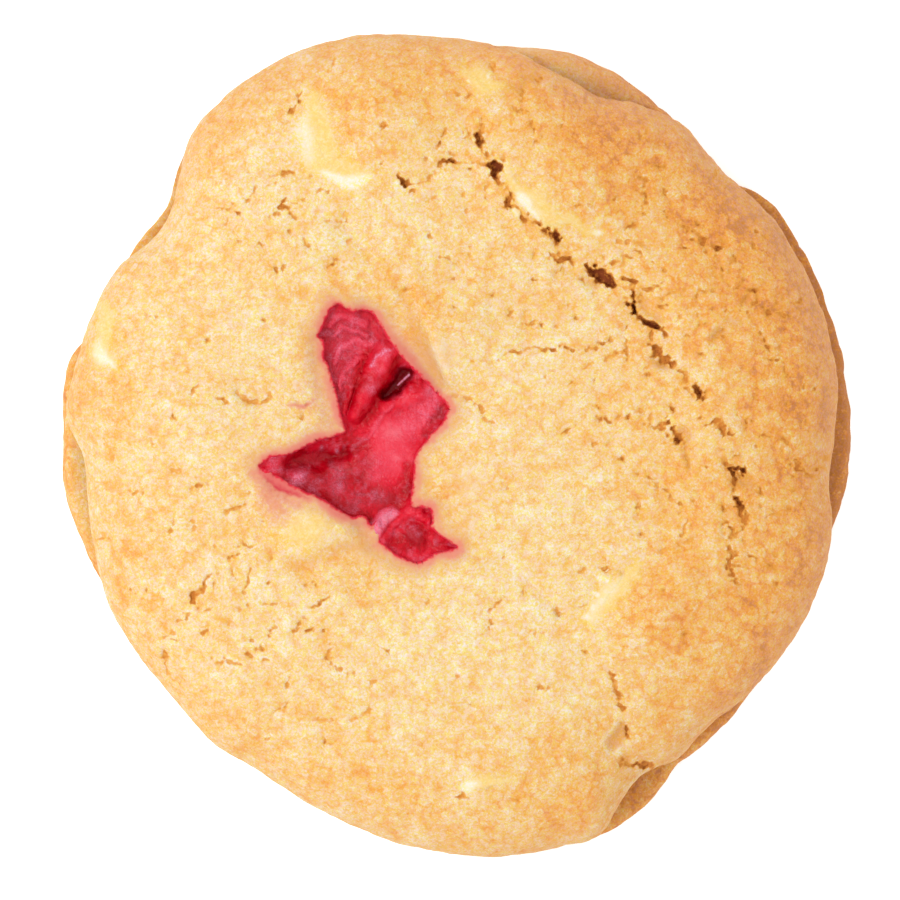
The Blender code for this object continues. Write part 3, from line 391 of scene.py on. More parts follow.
# (x, y, reach, drop) along the soft slopes and folds beside the torn edge.
FOLDS = (
    ((-9.6, 14.2, 1.6, 0.5), (-7.2, 12.2, 1.9, 1.0), (-4.9, 9.4, 1.9, 1.2), (-2.4, 6.2, 1.4, 1.0)),
    ((-4.4, 16.8, 1.1, -0.2), (-3.4, 13.6, 1.2, -0.35), (-2.4, 10.0, 1.2, -0.4), (-1.2, 6.6, 1.0, -0.3)),
    ((-14.4, 10.4, 1.4, 0.4), (-13.8, 6.4, 1.6, 0.5), (-12.8, 2.8, 1.4, 0.4)),
    ((-18.8, -3.8, 1.0, 0.4), (-16.8, -5.0, 1.0, 0.3)),
    ((-9.8, -8.2, 1.1, 0.6), (-8.8, -9.6, 0.9, 0.4)),
)

# (x, y, reach, strength) along the strips that raspberry juice has stained.
STAINS = (
    ((-9.4, 13.9, 1.0, 0.3), (-7.7, 12.3, 1.4, 0.36), (-6.4, 10.7, 1.6, 0.48), (-5.4, 9.4, 1.3, 0.65),
     (-4.4, 8.0, 1.0, 0.72), (-3.4, 6.4, 0.7, 0.75), (-2.1, 5.0, 0.6, 0.72)),
    ((-13.0, 14.4, 1.0, 0.3), (-14.6, 10.6, 1.6, 0.28), (-14.4, 7.6, 2.6, 0.32), (-14.0, 4.6, 3.4, 0.34),
     (-12.8, 2.0, 2.4, 0.36)),
    ((-14.0, 9.6, 0.4, 0.5), (-13.3, 7.0, 0.6, 0.65), (-12.8, 5.2, 0.9, 0.72), (-12.2, 3.0, 0.7, 0.6)),
    ((-17.2, 4.2, 0.3, 0.6), (-15.6, 3.9, 0.4, 0.9), (-14.4, 4.6, 0.3, 0.7)),
    ((-19.6, -1.2, 0.7, 0.6), (-18.4, -0.8, 0.9, 0.65), (-17.2, -0.5, 0.9, 0.6), (-15.8, 0.1, 0.8, 0.6),
     (-14.2, 0.9, 0.7, 0.6), (-12.2, 1.4, 0.7, 0.6)),
    ((-20.6, -2.8, 1.0, 0.6), (-19.6, -3.5, 1.5, 0.7), (-18.6, -5.0, 2.4, 0.76), (-18.0, -6.4, 2.2, 0.55)),
    ((-17.6, -5.2, 1.2, 0.7), (-16.2, -5.8, 1.0, 0.6)),
    ((-20.0, -2.5, 0.5, 1.1), (-18.9, -3.2, 0.9, 1.35), (-17.9, -3.95, 1.1, 1.5), (-17.0, -4.4, 0.9, 1.35),
     (-16.0, -4.85, 0.7, 1.1), (-15.0, -5.3, 0.6, 0.8)),
    ((-4.5, -1.2, 0.5, 0.5), (-4.2, -2.6, 0.7, 0.6), (-4.2, -4.2, 0.7, 0.6)),
    ((-14.0, -5.6, 0.6, 0.6), (-12.9, -6.4, 0.9, 0.72), (-11.8, -7.0, 1.0, 0.76), (-10.4, -7.5, 0.9, 0.7),
     (-9.6, -7.9, 0.8, 0.6)),
    ((-9.6, -8.6, 1.4, 0.3), (-8.4, -9.9, 1.2, 0.3)),
    ((-4.4, -5.4, 0.6, 0.4), (-3.4, -5.9, 0.8, 0.6), (-2.4, -7.0, 0.9, 0.5), (-2.0, -8.4, 0.8, 0.35)),
    ((-3.2, -11.4, 0.5, 0.3), (-0.4, -10.3, 0.7, 0.5), (0.4, -9.9, 0.4, 0.2)),
)

# (x, y, reach, amount) of the spots of the top that are browner, or paler where it is negative. Those beside
# the lower right of the opening are painted shade of its slope, and the two at the rim, at the right and the
# lower right, are painted light that offsets the shade of the crease under them.
BROWN_AND_SHADE_PATCHES = (
    (-6.5, 33.0, 5.0, 0.09), (12.6, 29.0, 5.4, 0.11), (19.4, -15.8, 3.6, 0.20), (25.4, -11.4, 2.6, -0.08),
    (20.7, 2.3, 3.0, 0.05), (1.0, 0.0, 4.0, 0.05), (0.9, 27.6, 1.6, 0.12), (15.6, 20.2, 3.0, -0.08),
    (6.1, -24.7, 3.0, -0.07), (5.9, -34.2, 2.0, -0.08), (8.3, 36.4, 2.4, -0.08), (20.3, 11.9, 3.0, 0.08),
    (7.7, -5.7, 3.0, 0.06), (10.7, -32.8, 3.0, 0.10), (-11.0, 31.0, 2.4, 0.09), (-24.3, -28.3, 4.0, 0.07),
    (-3.1, 30.1, 3.0, -0.08), (5.6, 28.5, 3.0, -0.09), (-1.8, 23.7, 3.0, -0.07), (-13.0, 23.4, 2.4, -0.07),
    (-12.8, 18.6, 2.0, -0.06), (-19.5, 25.7, 3.0, -0.09), (-19.0, 12.1, 3.0, -0.07), (32.3, -8.6, 4.0, 0.09),
    (2.0, 19.4, 4.0, 0.08), (23.0, 22.0, 6.0, 0.05), (30.5, 10.7, 4.0, 0.06), (-15.7, -12.4, 1.7, 0.16),
    (-19.2, -19.4, 3.4, -0.09), (26.1, -1.9, 3.0, -0.09), (12.8, -23.4, 3.6, -0.10),
    (20.6, -27.0, 3.0, -0.06), (-27.1, 21.0, 3.2, -0.10), (7.8, -10.4, 3.4, -0.08), (4.5, 4.1, 3.0, -0.07),
    (16.0, 8.0, 9.0, 0.06), (17.6, -0.4, 4.0, 0.08), (19.0, -7.0, 7.0, 0.07), (27.6, -23.6, 4.0, 0.12),
    (-36.2, 6.2, 3.8, 0.18), (-33.4, -10.4, 6.0, 0.13), (-33.2, 3.4, 2.6, 0.06), (-30.0, -22.0, 5.0, 0.05),
    (-26.3, 26.7, 4.0, 0.08), (-22.0, -32.0, 7.0, 0.10), (-8.0, -34.4, 8.0, 0.09), (8.0, -36.0, 7.0, 0.05),
    (2.4, -15.0, 5.6, -0.08), (-25.0, -22.0, 5.0, -0.03), (-28.0, -1.0, 6.0, -0.05),
    (-14.0, 24.5, 6.0, -0.05), (1.5, 28.5, 6.5, -0.05), (-20.0, -8.0, 3.0, 0.15), (-15.2, 10.5, 3.4, 0.10),
    (-12.3, 15.4, 2.2, 0.12), (-8.6, 18.2, 2.6, 0.10), (-10.4, -11.4, 3.0, 0.23), (-1.6, -4.8, 2.2, 0.14),
    (0.3, -8.8, 2.2, 0.12), (-4.9, 15.2, 2.6, 0.17), (-2.0, 12.0, 2.6, 0.12), (37.2, -3.2, 3.6, -0.22),
    (17.2, -33.4, 3.0, -0.12),
)

# (x, y, reach, share) of the smooth areas beside the opening.
CALM_AREAS = (
    (0.6, -3.6, 4.0, 0.6), (-2.0, 9.0, 3.4, 0.7), (-15.0, -8.0, 3.6, 0.7), (-14.4, 7.0, 2.4, 0.5),
    (-9.6, -10.4, 2.6, 0.6), (1.0, -8.6, 2.2, 0.4),
)

# The raspberry flesh. (x, y, reach, height) of its bumps and hollows, and (x, y, half width) along each
# of its small folds and of its larger ridges.
PULP_SWELLS = (
    (-11.2, 10.4, 2.4, -0.6), (-11.0, 6.6, 1.4, 0.35), (-7.2, -0.6, 2.9, 0.7), (-13.4, -2.6, 2.2, -0.6),
    (-19.0, -2.0, 1.2, 0.5), (-16.4, -3.2, 0.9, 0.6), (-13.7, -3.6, 0.7, 0.35), (-11.6, -4.4, 1.0, 0.3),
    (-3.4, 4.2, 1.6, 0.5), (-4.7, -9.0, 1.3, 0.9), (-2.2, -9.7, 0.8, 0.4),
)
PULP_FOLDS = (
    ((-13.0, 12.0, 0.4), (-12.0, 13.1, 0.45), (-10.6, 12.6, 0.45), (-9.4, 12.2, 0.4)),
    ((-12.7, 10.8, 0.4), (-11.7, 11.9, 0.45), (-10.3, 11.5, 0.4), (-9.2, 11.2, 0.35)),
    ((-12.6, 8.2, 0.45), (-11.9, 9.6, 0.55), (-10.4, 10.3, 0.6), (-8.9, 10.4, 0.5)),
    ((-11.9, 5.6, 0.35), (-11.4, 7.4, 0.45), (-10.4, 8.7, 0.45), (-9.4, 8.9, 0.3)),
    ((-11.5, 3.2, 0.3), (-10.9, 5.4, 0.4), (-10.0, 7.0, 0.35)),
)
FINGER = ((-7.3, 8.9, 1.7), (-8.2, 7.2, 1.6), (-9.3, 5.2, 1.3), (-10.3, 3.0, 0.9))
FLAP = ((-7.4, 3.9, 0.9), (-5.6, 4.7, 1.2), (-3.7, 5.7, 1.1))
SEAM = ((-10.8, -0.3, 0.3), (-9.0, 1.3, 0.35), (-7.9, 3.0, 0.35), (-6.8, 4.2, 0.3))
RIM = ((-7.6, -9.4, 0.7), (-7.0, -7.7, 0.8), (-5.8, -6.95, 0.8), (-4.1, -6.8, 0.7), (-3.1, -7.5, 0.6))
BRIDGE = ((-8.5, -8.8, 0.8), (-7.8, -7.5, 0.9), (-6.8, -6.5, 0.7))

# The dark hollow beside the fold, and the cavity under the left lip, both drawn dark as painted shade.
GULLET = (
    (-4.9, 7.8), (-5.6, 8.1), (-6.2, 7.8), (-6.5, 7.0), (-7.1, 6.1), (-7.8, 5.3), (-7.5, 4.8),
    (-6.6, 4.8), (-5.9, 5.2), (-5.2, 6.1), (-4.7, 6.9),
)
CAVITY = (
    (-17.5, -2.0), (-16.9, -2.4), (-15.6, -2.4), (-14.2, -2.1), (-12.8, -1.7), (-11.6, -1.5),
    (-10.9, -0.8), (-11.4, -0.2), (-12.5, -0.6), (-13.4, -0.2), (-14.8, -0.2), (-15.9, -0.6),
    (-16.8, -1.2),
)

# (amount, strip of (x, y, reach)) of the deeper red at borders that stay, and at those that drift with
# the flesh, and the deeper red at both sides of the finger: partly the flesh's colour, partly painted shade.
DEEP_BORDERS = (
    (0.12, ((-13.4, 11.8, 0.7), (-12.9, 7.6, 0.7), (-12.0, 4.0, 0.7), (-10.8, 1.6, 0.9))),
    (0.36, ((-17.6, -3.2, 0.4), (-14.6, -4.5, 0.6), (-12.0, -6.0, 0.8), (-9.0, -7.3, 0.6))),
)
DRIFTING_BORDERS = (
    (0.42, ((-5.3, -1.8, 0.6), (-5.3, -4.4, 0.9), (-6.6, -5.3, 0.9))),
    (0.34, ((-3.4, 1.2, 0.6), (-2.3, 2.6, 0.7), (-1.9, 3.6, 0.6))),
)
BESIDE_FINGER = (
    ((-9.3, 9.3, 0.4), (-10.3, 6.6, 0.45), (-10.9, 4.2, 0.4)),
    ((-6.0, 8.9, 0.4), (-7.3, 6.6, 0.4), (-8.3, 4.4, 0.5), (-9.4, 2.4, 0.5)),
)

# (x, y, reach) along the bright edge of the fold over the hollow, and along the glint inside it.
CREST = ((-8.7, 8.1, 0.13), (-8.2, 9.1, 0.15), (-7.4, 9.55, 0.15), (-6.7, 9.4, 0.12))
STREAK = ((-6.2, 6.1, 0.1), (-5.1, 7.1, 0.14))

# (x, y, reach, amount) of the upper flesh, of its paler or deeper spots, partly painted light and shade, and
# of its pale spots and painted highlights.
UPPER_FLESH = ((-11.2, 10.6, 3.0, 1.0), (-12.0, 6.6, 1.6, 0.6))
TONE_SPOTS = (
    (-3.4, 3.0, 1.2, 0.16), (-2.8, 5.7, 0.7, 0.4), (-4.0, -3.7, 0.8, -0.16), (-3.6, -9.4, 0.8, -0.12),
    (-4.7, -9.0, 1.2, -0.4), (-6.5, -9.4, 0.7, -0.24), (-2.0, -9.9, 0.9, -0.22), (-8.0, -4.6, 1.6, -0.18),
    (-3.9, 5.5, 1.0, -0.2), (-7.3, 9.0, 0.7, 0.14), (-11.2, -1.0, 2.4, -0.16), (-13.6, -3.0, 2.8, -0.22),
    (-10.6, -5.2, 2.2, -0.24),
)
HIGHLIGHT_AND_PALE_SPOTS = (
    (-16.1, -3.2, 0.8, 1.2), (-14.1, -3.5, 0.5, 0.5), (-14.6, -4.4, 0.35, 0.5), (-12.2, -4.2, 0.8, 0.5),
    (-12.2, -2.7, 0.8, 0.5), (-8.9, 5.5, 0.6, 0.8), (-2.9, 5.5, 0.6, 0.6), (-14.0, -0.2, 0.25, 1.4),
    (-12.2, -0.6, 0.2, 1.2), (-10.2, -5.6, 0.8, 0.35), (-8.0, -5.0, 1.0, 0.25), (-8.2, 7.8, 0.4, 0.4),
    (-7.3, 9.0, 0.5, 0.5), (-9.0, 6.7, 0.25, 0.6), (-4.9, -8.8, 0.8, 0.2), (-18.6, -1.5, 0.6, 0.6),
    (-3.4, 3.0, 0.9, 0.5), (-2.4, 4.4, 0.8, 0.4), (-5.0, 2.4, 1.2, 0.3), (-8.4, -1.8, 1.4, 0.3),
)

# The mesh of the dough: how far apart its vertices are, how near a feature it is split finer, and the
# share of the dome's radius inside which it is.
TOP_STEP = 0.37
SIDE_STEP = 0.46
BASE_STEP = 1.4
FINE_REACH = 0.42
FINEST_REACH = 0.2
FINE_SHARE = 0.985

# The zones of its vertices.
TOP, SIDE, BASE = 0, 1, 2

# How far from a soft strip, a crack or the opening places are still measured against it, and the
# distance that counts as far from all of them.
STRIP_MARGIN = 7.0
CRACK_MARGIN = 1.6
OPENING_MIDDLE = (-9.0, 1.0)
OPENING_REACH = 24.0
FAR = 9.0

# The slope of a crack's walls, the border of its painted shade, and the deepest that it goes.
WALL_WIDTH = 0.24
SHADE_WIDTH = 0.38
CRACK_DEPTH_LIMIT = 1.2

# How wide the strips of each table are drawn, as a share of their reach.
DENT_WIDTH = 0.62
FOLD_WIDTH = 0.75
STAIN_WIDTH = 0.75
YELLOW_WIDTH = 1.0
WHITE_WIDTH = 1.1

# How far noise bends the strips of bare chocolate, and how far it crumbles the walls of the cracks.
YELLOW_BEND = 0.7
WHITE_BEND = 0.35
CRACK_WARP = 0.15

# The hole for the raspberry, and the flat base, step and overlap of the pieces of flesh in it.
HOLE_DEPTH = 5.2
HOLE_FLOOR = 8.75
PULP_FLOOR = 8.76
PULP_STEP = 0.13
PULP_OVERLAP = 0.25

# The mesh of a chunk's bare side, and how far its walls reach down under it.
CHUNK_STEPS = 110
CHUNK_ROWS = 26
CHUNK_DEPTH = 1.5

# How smooth the side is, and the height of relief that counts as 1 in the mark for the material.
SIDE_CALM = 0.3
FULL_RELIEF = 0.1

# Random draws of short cracks, and (x, y, reach, density) of the areas that have them.
SEED = 11
TICKS = 340
TICK_LIMIT = 37.0
TICK_AREAS = (
    (-20.0, -18.0, 10.0, 0.4), (16.0, 8.0, 10.0, 0.6), (24.0, 17.0, 12.0, 1.0), (-19.0, 24.0, 8.0, 0.25),
    (-26.0, 0.0, 9.0, 0.4), (3.0, -16.0, 8.0, 0.3), (27.0, -6.0, 10.0, 1.0), (-4.0, 20.0, 8.0, 0.3),
    (4.0, 34.0, 7.0, 0.7),
)

# (position, sRGB colour) of the crust from its palest crumb to its brownest edge, of the chocolate,
# and of the flesh.
CRUST_COLOURS = (
    (0.0, (253, 240, 226)), (0.15, (251, 225, 198)), (0.3, (250, 211, 171)), (0.45, (249, 196, 137)),
    (0.6, (249, 181, 112)), (0.8, (244, 161, 95)), (1.0, (218, 142, 94)),
)
CHOCOLATE_COLOURS = ((0.2, (252, 206, 112)), (0.5, (254, 221, 140)), (0.85, (254, 238, 184)))
FLESH_COLOURS = (
    (0.0, (186, 0, 18)), (0.25, (214, 4, 30)), (0.5, (238, 24, 50)), (0.75, (250, 66, 86)),
    (1.0, (255, 122, 136)),
)

FLOOR_COLOUR = (0.95, 0.95, 0.95, 1.0)
BUMP_STRENGTH = 0.8

# How bright a white surface that faces up looks. Colours are divided by it.
LIGHT_LEVEL = 2.4

# The light and the floor, in metres, watts and degrees.
SURROUND_STRENGTH = 1.85
KEY_ELEVATION = 55
KEY_DISTANCE = 1.0
KEY_SIZE = 0.3
KEY_POWER = 7.0
FLOOR_HALF = 3.0

# The photo's frame of 900 by 900 pixels is 90 mm across, and the cookie's middle is at (460, 446) in it.
FRAME_WIDTH = 90.0
COOKIE_OFF_CENTRE = (1.0, 0.4)
CAMERA_HEIGHT = 2000.0
FOCUS_HEIGHT = 8.0
SENSOR = 36.0


def hermite(first, slope, second, next_slope, t):
    """The smooth curve between two values with given slopes, at a share t of the way."""
    return (
        first * (1 + 2 * t) * (1 - t) ** 2
        + slope * t * (1 - t) ** 2
        + second * t * t * (3 - 2 * t)
        + next_slope * t * t * (t - 1)
    )


def around(table, bearing):
    """The value at a bearing, on a smooth closed curve through the table's points."""
    angles = np.array([row[0] for row in table], float)
    values = np.array([row[1] for row in table], float)
    angles = np.concatenate([angles[-2:] - 360, angles, angles[:2] + 360])
    values = np.concatenate([values[-2:], values, values[:2]])
    slopes = np.gradient(values, angles)
    bearing = np.mod(bearing, 360.0)
    left = np.clip(np.searchsorted(angles, bearing, side="right") - 1, 0, len(angles) - 2)
    span = angles[left + 1] - angles[left]
    t = (bearing - angles[left]) / span
    return hermite(values[left], slopes[left] * span, values[left + 1], slopes[left + 1] * span, t)


def ease(value):
    """0 up to 0, 1 from 1 on, and a smooth step between."""
    value = np.clip(value, 0.0, 1.0)
    return value * value * (3 - 2 * value)


def swell(x, y, table):
    """The height that a table of round bumps and hollows adds at a point."""
    total = np.zeros_like(np.asarray(x, float))
    for bump_x, bump_y, reach, height in table:
        total = total + height * np.exp(-((x - bump_x) ** 2 + (y - bump_y) ** 2) / reach**2)
    return total


def band(bearing, share):
    """1 on the raised outer band, 0 off it."""
    off_start = np.mod(bearing - BAND_START, 360.0)
    length = BAND_END - BAND_START
    along = ease(off_start / BAND_FADE) * ease((length - off_start) / BAND_FADE)
    return along * ease((share - BAND_INNER) / BAND_WIDTH)


def shoulder_height(bearing):
    return np.maximum(SHOULDER_HEIGHT, around(FOOT_HEIGHTS, bearing) + SHOULDER_OVER_FOOT)


def dome_share(x, y):
    """A point's bearing, and how far out it is as a share of the dome's radius there."""
    bearing = np.degrees(np.arctan2(y, x))
    return bearing, np.hypot(x, y) / around(DOME_OUTLINE, bearing)


def crust_height(x, y):
    """Height of the smooth top crust at a point inside the dome's outline."""
    bearing, share = dome_share(x, y)
    fullness = (1 - np.minimum(share, 1.0) ** SHOULDER_SQUARENESS) ** (1 / SHOULDER_ROUNDNESS)
    low = shoulder_height(bearing)
    relief = swell(x, y, SWELLS) + BAND_RISE * band(bearing, share)
    return low + (DOME_TOP - low + relief) * fullness


def middle_of_outline():
    """The middle of the box round the widest outline, which is the part's origin."""
    bearings = np.arange(0.0, 360.0, 0.5)
    radii = np.maximum(around(DOME_OUTLINE, bearings), around(FOOT_OUTLINE, bearings))
    x = radii * np.cos(np.radians(bearings))
    y = radii * np.sin(np.radians(bearings))
    return np.array([(x.min() + x.max()) / 2, (y.min() + y.max()) / 2, 0.0])


MIDDLE = middle_of_outline()


def side_wave(bearing):
    return sum(share * np.sin(waves * np.radians(bearing) + phase) for waves, phase, share in SIDE_WAVES)


def side_controls(bearing):
    """(radius, height) rows from the widest ring of the dome down to the edge of the flat base."""
    dome = around(DOME_OUTLINE, bearing)
    foot = around(FOOT_OUTLINE, bearing)
    foot_top = around(FOOT_HEIGHTS, bearing) * (1 + 0.3 * side_wave(bearing))
    crease = np.minimum(dome, foot) - CREASE_INSET * (1 + side_wave(bearing))
    crease_height = foot_top + CREASE_HEIGHT * (1 + side_wave(bearing + 60))
    shoulder = shoulder_height(bearing)
    under = shoulder - crease_height
    return np.array(
        [
            (dome, shoulder),
            (dome - 0.12 * CREASE_INSET, crease_height + 0.66 * under),
            (dome - 0.5 * CREASE_INSET, crease_height + 0.3 * under),
            (crease, crease_height),
            (foot - 0.9 * FOOT_EDGE_ROUNDING, foot_top),
            (foot - 0.25 * FOOT_EDGE_ROUNDING, 0.82 * foot_top),
            (foot, 0.5 * foot_top),
            (foot - 0.3 * FOOT_EDGE_ROUNDING, 0.2 * foot_top),
            (foot - FOOT_EDGE_ROUNDING, np.zeros_like(foot)),
        ]
    )


def hashed(cell, seed):
    """A fixed random value from -1 to 1 for each whole-numbered cell."""
    mixed = cell[:, 0] * 374761393 + cell[:, 1] * 668265263 + cell[:, 2] * 1274126177 + seed * 974634777
    mixed = (mixed ^ (mixed >> 13)) & 0xFFFFFFFF
    mixed = (mixed * 1103515245 + 12345) & 0xFFFFFFFF
    mixed = (mixed ^ (mixed >> 16)) & 0xFFFFFFFF
    mixed = (mixed * 2246822519) & 0xFFFFFFFF
    return ((mixed >> 8) & 0xFFFFFF) / 0x7FFFFF - 1.0


def noise(points, wavelength, seed):
    """Smooth noise from -1 to 1 whose bumps are about a wavelength apart."""
    place = points / wavelength + 500.0
    low = np.floor(place)
    part = place - low
    part = part * part * part * (part * (part * 6 - 15) + 10)
    low = low.astype(np.int64)
    total = np.zeros(len(points))
    for corner in range(8):
        step = np.array([corner & 1, corner >> 1 & 1, corner >> 2 & 1])
        weight = np.prod(np.where(step, part, 1 - part), axis=1)
        total += weight * hashed(low + step, seed)
    return total


def flat_points(x, y):
    return np.column_stack([x, y, np.zeros_like(x)])


def along_segment(x, y, first, second):
    """How far along a segment the nearest place is, from 0 to 1, and the distance to it."""
    step = second[:2] - first[:2]
    t = ((x - first[0]) * step[0] + (y - first[1]) * step[1]) / max(step @ step, 1e-9)
    t = np.clip(t, 0.0, 1.0)
    return t, np.hypot(x - first[0] - t * step[0], y - first[1] - t * step[1])


def line_distance(x, y, points):
    """Distance to a line through points, and the line's other values at the nearest place."""
    points = np.asarray(points, float)
    best = np.full(np.shape(x), np.inf)
    values = np.zeros((points.shape[1] - 2,) + np.shape(x))
    for first, second in zip(points, points[1:]):
        t, distance = along_segment(x, y, first, second)
        closer = distance < best
        best = np.where(closer, distance, best)
        for k in range(len(values)):
            values[k] = np.where(closer, first[k + 2] + t * (second[k + 2] - first[k + 2]), values[k])
    return best, values


class Places:
    """Places of the crust, kept so that the few near a line are quick to find.

    warp pushes them about before they are measured against a crack, bend_x and bend_y before they are
    measured against a soft strip, and crumble moves the walls of a crack.
    """

    def __init__(self, x, y, warp=0.0):
        self.x, self.y = x, y
        self.order = np.argsort(x)
        self.sorted_x = x[self.order]
        spot = flat_points(x, y)
        self.warp_x = x + warp * (noise(spot, 0.8, 21) + 0.6 * noise(spot, 0.4, 22))
        self.warp_y = y + warp * (noise(spot, 0.8, 31) + 0.6 * noise(spot, 0.4, 32))
        self.crumble = 1.4 * warp * noise(spot, 0.34, 41)
        self.bend_x = noise(spot, 2.2, 23) + 0.5 * noise(spot, 0.9, 24)
        self.bend_y = noise(spot, 2.2, 33) + 0.5 * noise(spot, 0.9, 34)

    def near(self, line, margin):
        line = np.asarray(line, float)
        low = np.searchsorted(self.sorted_x, line[:, 0].min() - margin)
        high = np.searchsorted(self.sorted_x, line[:, 0].max() + margin)
        chosen = self.order[low:high]
        y = self.y[chosen]
        return chosen[(y > line[:, 1].min() - margin) & (y < line[:, 1].max() + margin)]

    def soft(self, table, share, bend=0.0):
        """The largest of the smooth bell-shaped strips of (x, y, reach, height) rows at each place."""
        total = np.zeros(len(self.x))
        for line in table:
            chosen = self.near(line, STRIP_MARGIN)
            x = self.x[chosen] + bend * self.bend_x[chosen]
            y = self.y[chosen] + bend * self.bend_y[chosen]
            distance, (reach, height) = line_distance(x, y, line)
            value = height * np.exp(-((distance / (share * reach)) ** 2))
            keep = np.abs(value) > np.abs(total[chosen])
            total[chosen] = np.where(keep, value, total[chosen])
        return total


def smooth_outline(points, parts):
    """A closed outline with extra points on gentle curves between its corners."""
    points = np.asarray(points, float)
    before, after, beyond = (np.roll(points, turn, axis=0) for turn in (1, -1, -2))
    slopes = 0.3 * (after - before), 0.3 * (beyond - points)
    rows = [hermite(points, slopes[0], after, slopes[1], t) for t in np.arange(parts) / parts]
    return np.stack(rows, axis=1).reshape(-1, 2)


def outline_distance(x, y, outline):
    """Distance outside a closed outline, negative inside it."""
    closed = np.concatenate([outline, outline[:1]])
    best = np.full(len(x), np.inf)
    inside = np.zeros(len(x), bool)
    for first, second in zip(closed, closed[1:]):
        best = np.minimum(best, along_segment(x, y, first, second)[1])
        crosses = (first[1] > y) != (second[1] > y)
        with np.errstate(divide="ignore", invalid="ignore"):
            cut_x = first[0] + (y - first[1]) * (second[0] - first[0]) / (second[1] - first[1])
        inside ^= crosses & (x < cut_x)
    return np.where(inside, -best, best)


def torn_distance(x, y):
    """Distance outside the torn edge, held at FAR where it is farther."""
    distance = np.full(len(x), FAR)
    near = np.hypot(x - OPENING_MIDDLE[0], y - OPENING_MIDDLE[1]) < OPENING_REACH
    distance[near] = np.minimum(FAR, outline_distance(x[near], y[near], smooth_outline(TORN_EDGE, 3)))
    return distance


def zip_rings(inner, outer):
    """Triangles between two rings of vertex numbers, whatever the number of each."""
    n = len(inner)
    m = len(outer)
    j = np.arange(m)
    apex = np.floor((j + 0.5) * n / m + 0.5).astype(int) % n
    i = np.arange(n)
    other = np.ceil((i + 0.5) * m / n - 0.5).astype(int) % m
    fans = np.column_stack([inner[apex], outer[j], outer[(j + 1) % m]])
    gaps = np.column_stack([inner[i], outer[other], inner[(i + 1) % n]])
    return np.concatenate([fans, gaps])


def refine(points, faces, near):
    """Splits at its middle every edge whose two ends are marked."""
    pairs = np.concatenate([faces[:, [0, 1]], faces[:, [1, 2]], faces[:, [2, 0]]])
    keys, back = np.unique(pairs.min(axis=1) * len(points) + pairs.max(axis=1), return_inverse=True)
    low, high = keys // len(points), keys % len(points)
    split = near[low] & near[high]
    number = np.full(len(keys), -1)
    number[split] = len(points) + np.arange(split.sum())
    middles = 0.5 * (points[low[split]] + points[high[split]])
    cut = number[back.ravel()].reshape(3, -1).T
    whole = cut < 0
    count = 3 - whole.sum(axis=1)
    first = np.where(count == 1, np.argmin(whole, axis=1), 0)
    first = np.where(count == 2, (np.argmax(whole, axis=1) + 1) % 3, first)
    turn = (first[:, None] + np.arange(3)) % 3
    a, b, c = np.take_along_axis(faces, turn, axis=1).T
    ab, bc, ca = np.take_along_axis(cut, turn, axis=1).T
    made = [faces[count == 0]]
    corners = {
        1: ((a, ab, c), (ab, b, c)),
        2: ((ab, b, bc), (a, ab, bc), (a, bc, c)),
        3: ((a, ab, ca), (ab, b, bc), (ca, bc, c), (ab, bc, ca)),
    }
    for cuts, triangles in corners.items():
        chosen = count == cuts
        made.extend(np.column_stack([corner[chosen] for corner in triangle]) for triangle in triangles)
    return np.concatenate([points, middles]), np.concatenate(made)


def vertex_normals(points, faces):
    a, b, c = points[faces[:, 0]], points[faces[:, 1]], points[faces[:, 2]]
    face_normals = np.cross(b - a, c - a)
    normals = np.zeros_like(points)
    for corner in range(3):
        for axis in range(3):
            normals[:, axis] += np.bincount(faces[:, corner], face_normals[:, axis], len(points))
    return normals / np.maximum(np.linalg.norm(normals, axis=1), 1e-12)[:, None]


def make_piece(name, points, faces, marks, material, node):
    """A closed piece from millimetre points, which rides on the body and replaces its node."""
    mesh = bpy.data.meshes.new(name)
    mesh.from_pydata(((points - MIDDLE) * MM).tolist(), [], faces.tolist())
    mesh.shade_smooth()
    for mark, values in marks.items():
        layer = mesh.attributes.new(mark, "FLOAT", "POINT")
        layer.data.foreach_set("value", values.astype(np.float32))
    mesh.materials.append(material)
    piece = new_object(name, mesh)
    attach(piece, "root")
    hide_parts(node)


def top_shares():
    """Shares of the dome's radius for the rings of the top, one step apart along its profile."""
    angle = np.linspace(0.0, math.pi / 2, 4000)
    share = np.sin(angle) ** (2 / SHOULDER_SQUARENESS)
    fullness = np.cos(angle) ** (2 / SHOULDER_ROUNDNESS)
    radius = np.mean([row[1] for row in DOME_OUTLINE])
    steps = np.hypot(np.diff(share * radius), np.diff(fullness * (DOME_TOP - SHOULDER_HEIGHT)))
    length = np.concatenate([[0.0], np.cumsum(steps)])
    count = int(length[-1] / TOP_STEP)
    return np.interp(np.arange(1, count + 1) * length[-1] / count, length, share)


def side_ring(controls, along):
    """Radii and heights of the ring that lies that far down the side's control rows."""
    last = len(controls) - 1
    k = min(int(along), last - 1)
    t = along - k
    rows = [controls[max(k - 1, 0)], controls[k], controls[k + 1], controls[min(k + 2, last)]]
    return hermite(rows[1], 0.5 * (rows[2] - rows[0]), rows[2], 0.5 * (rows[3] - rows[1]), t)


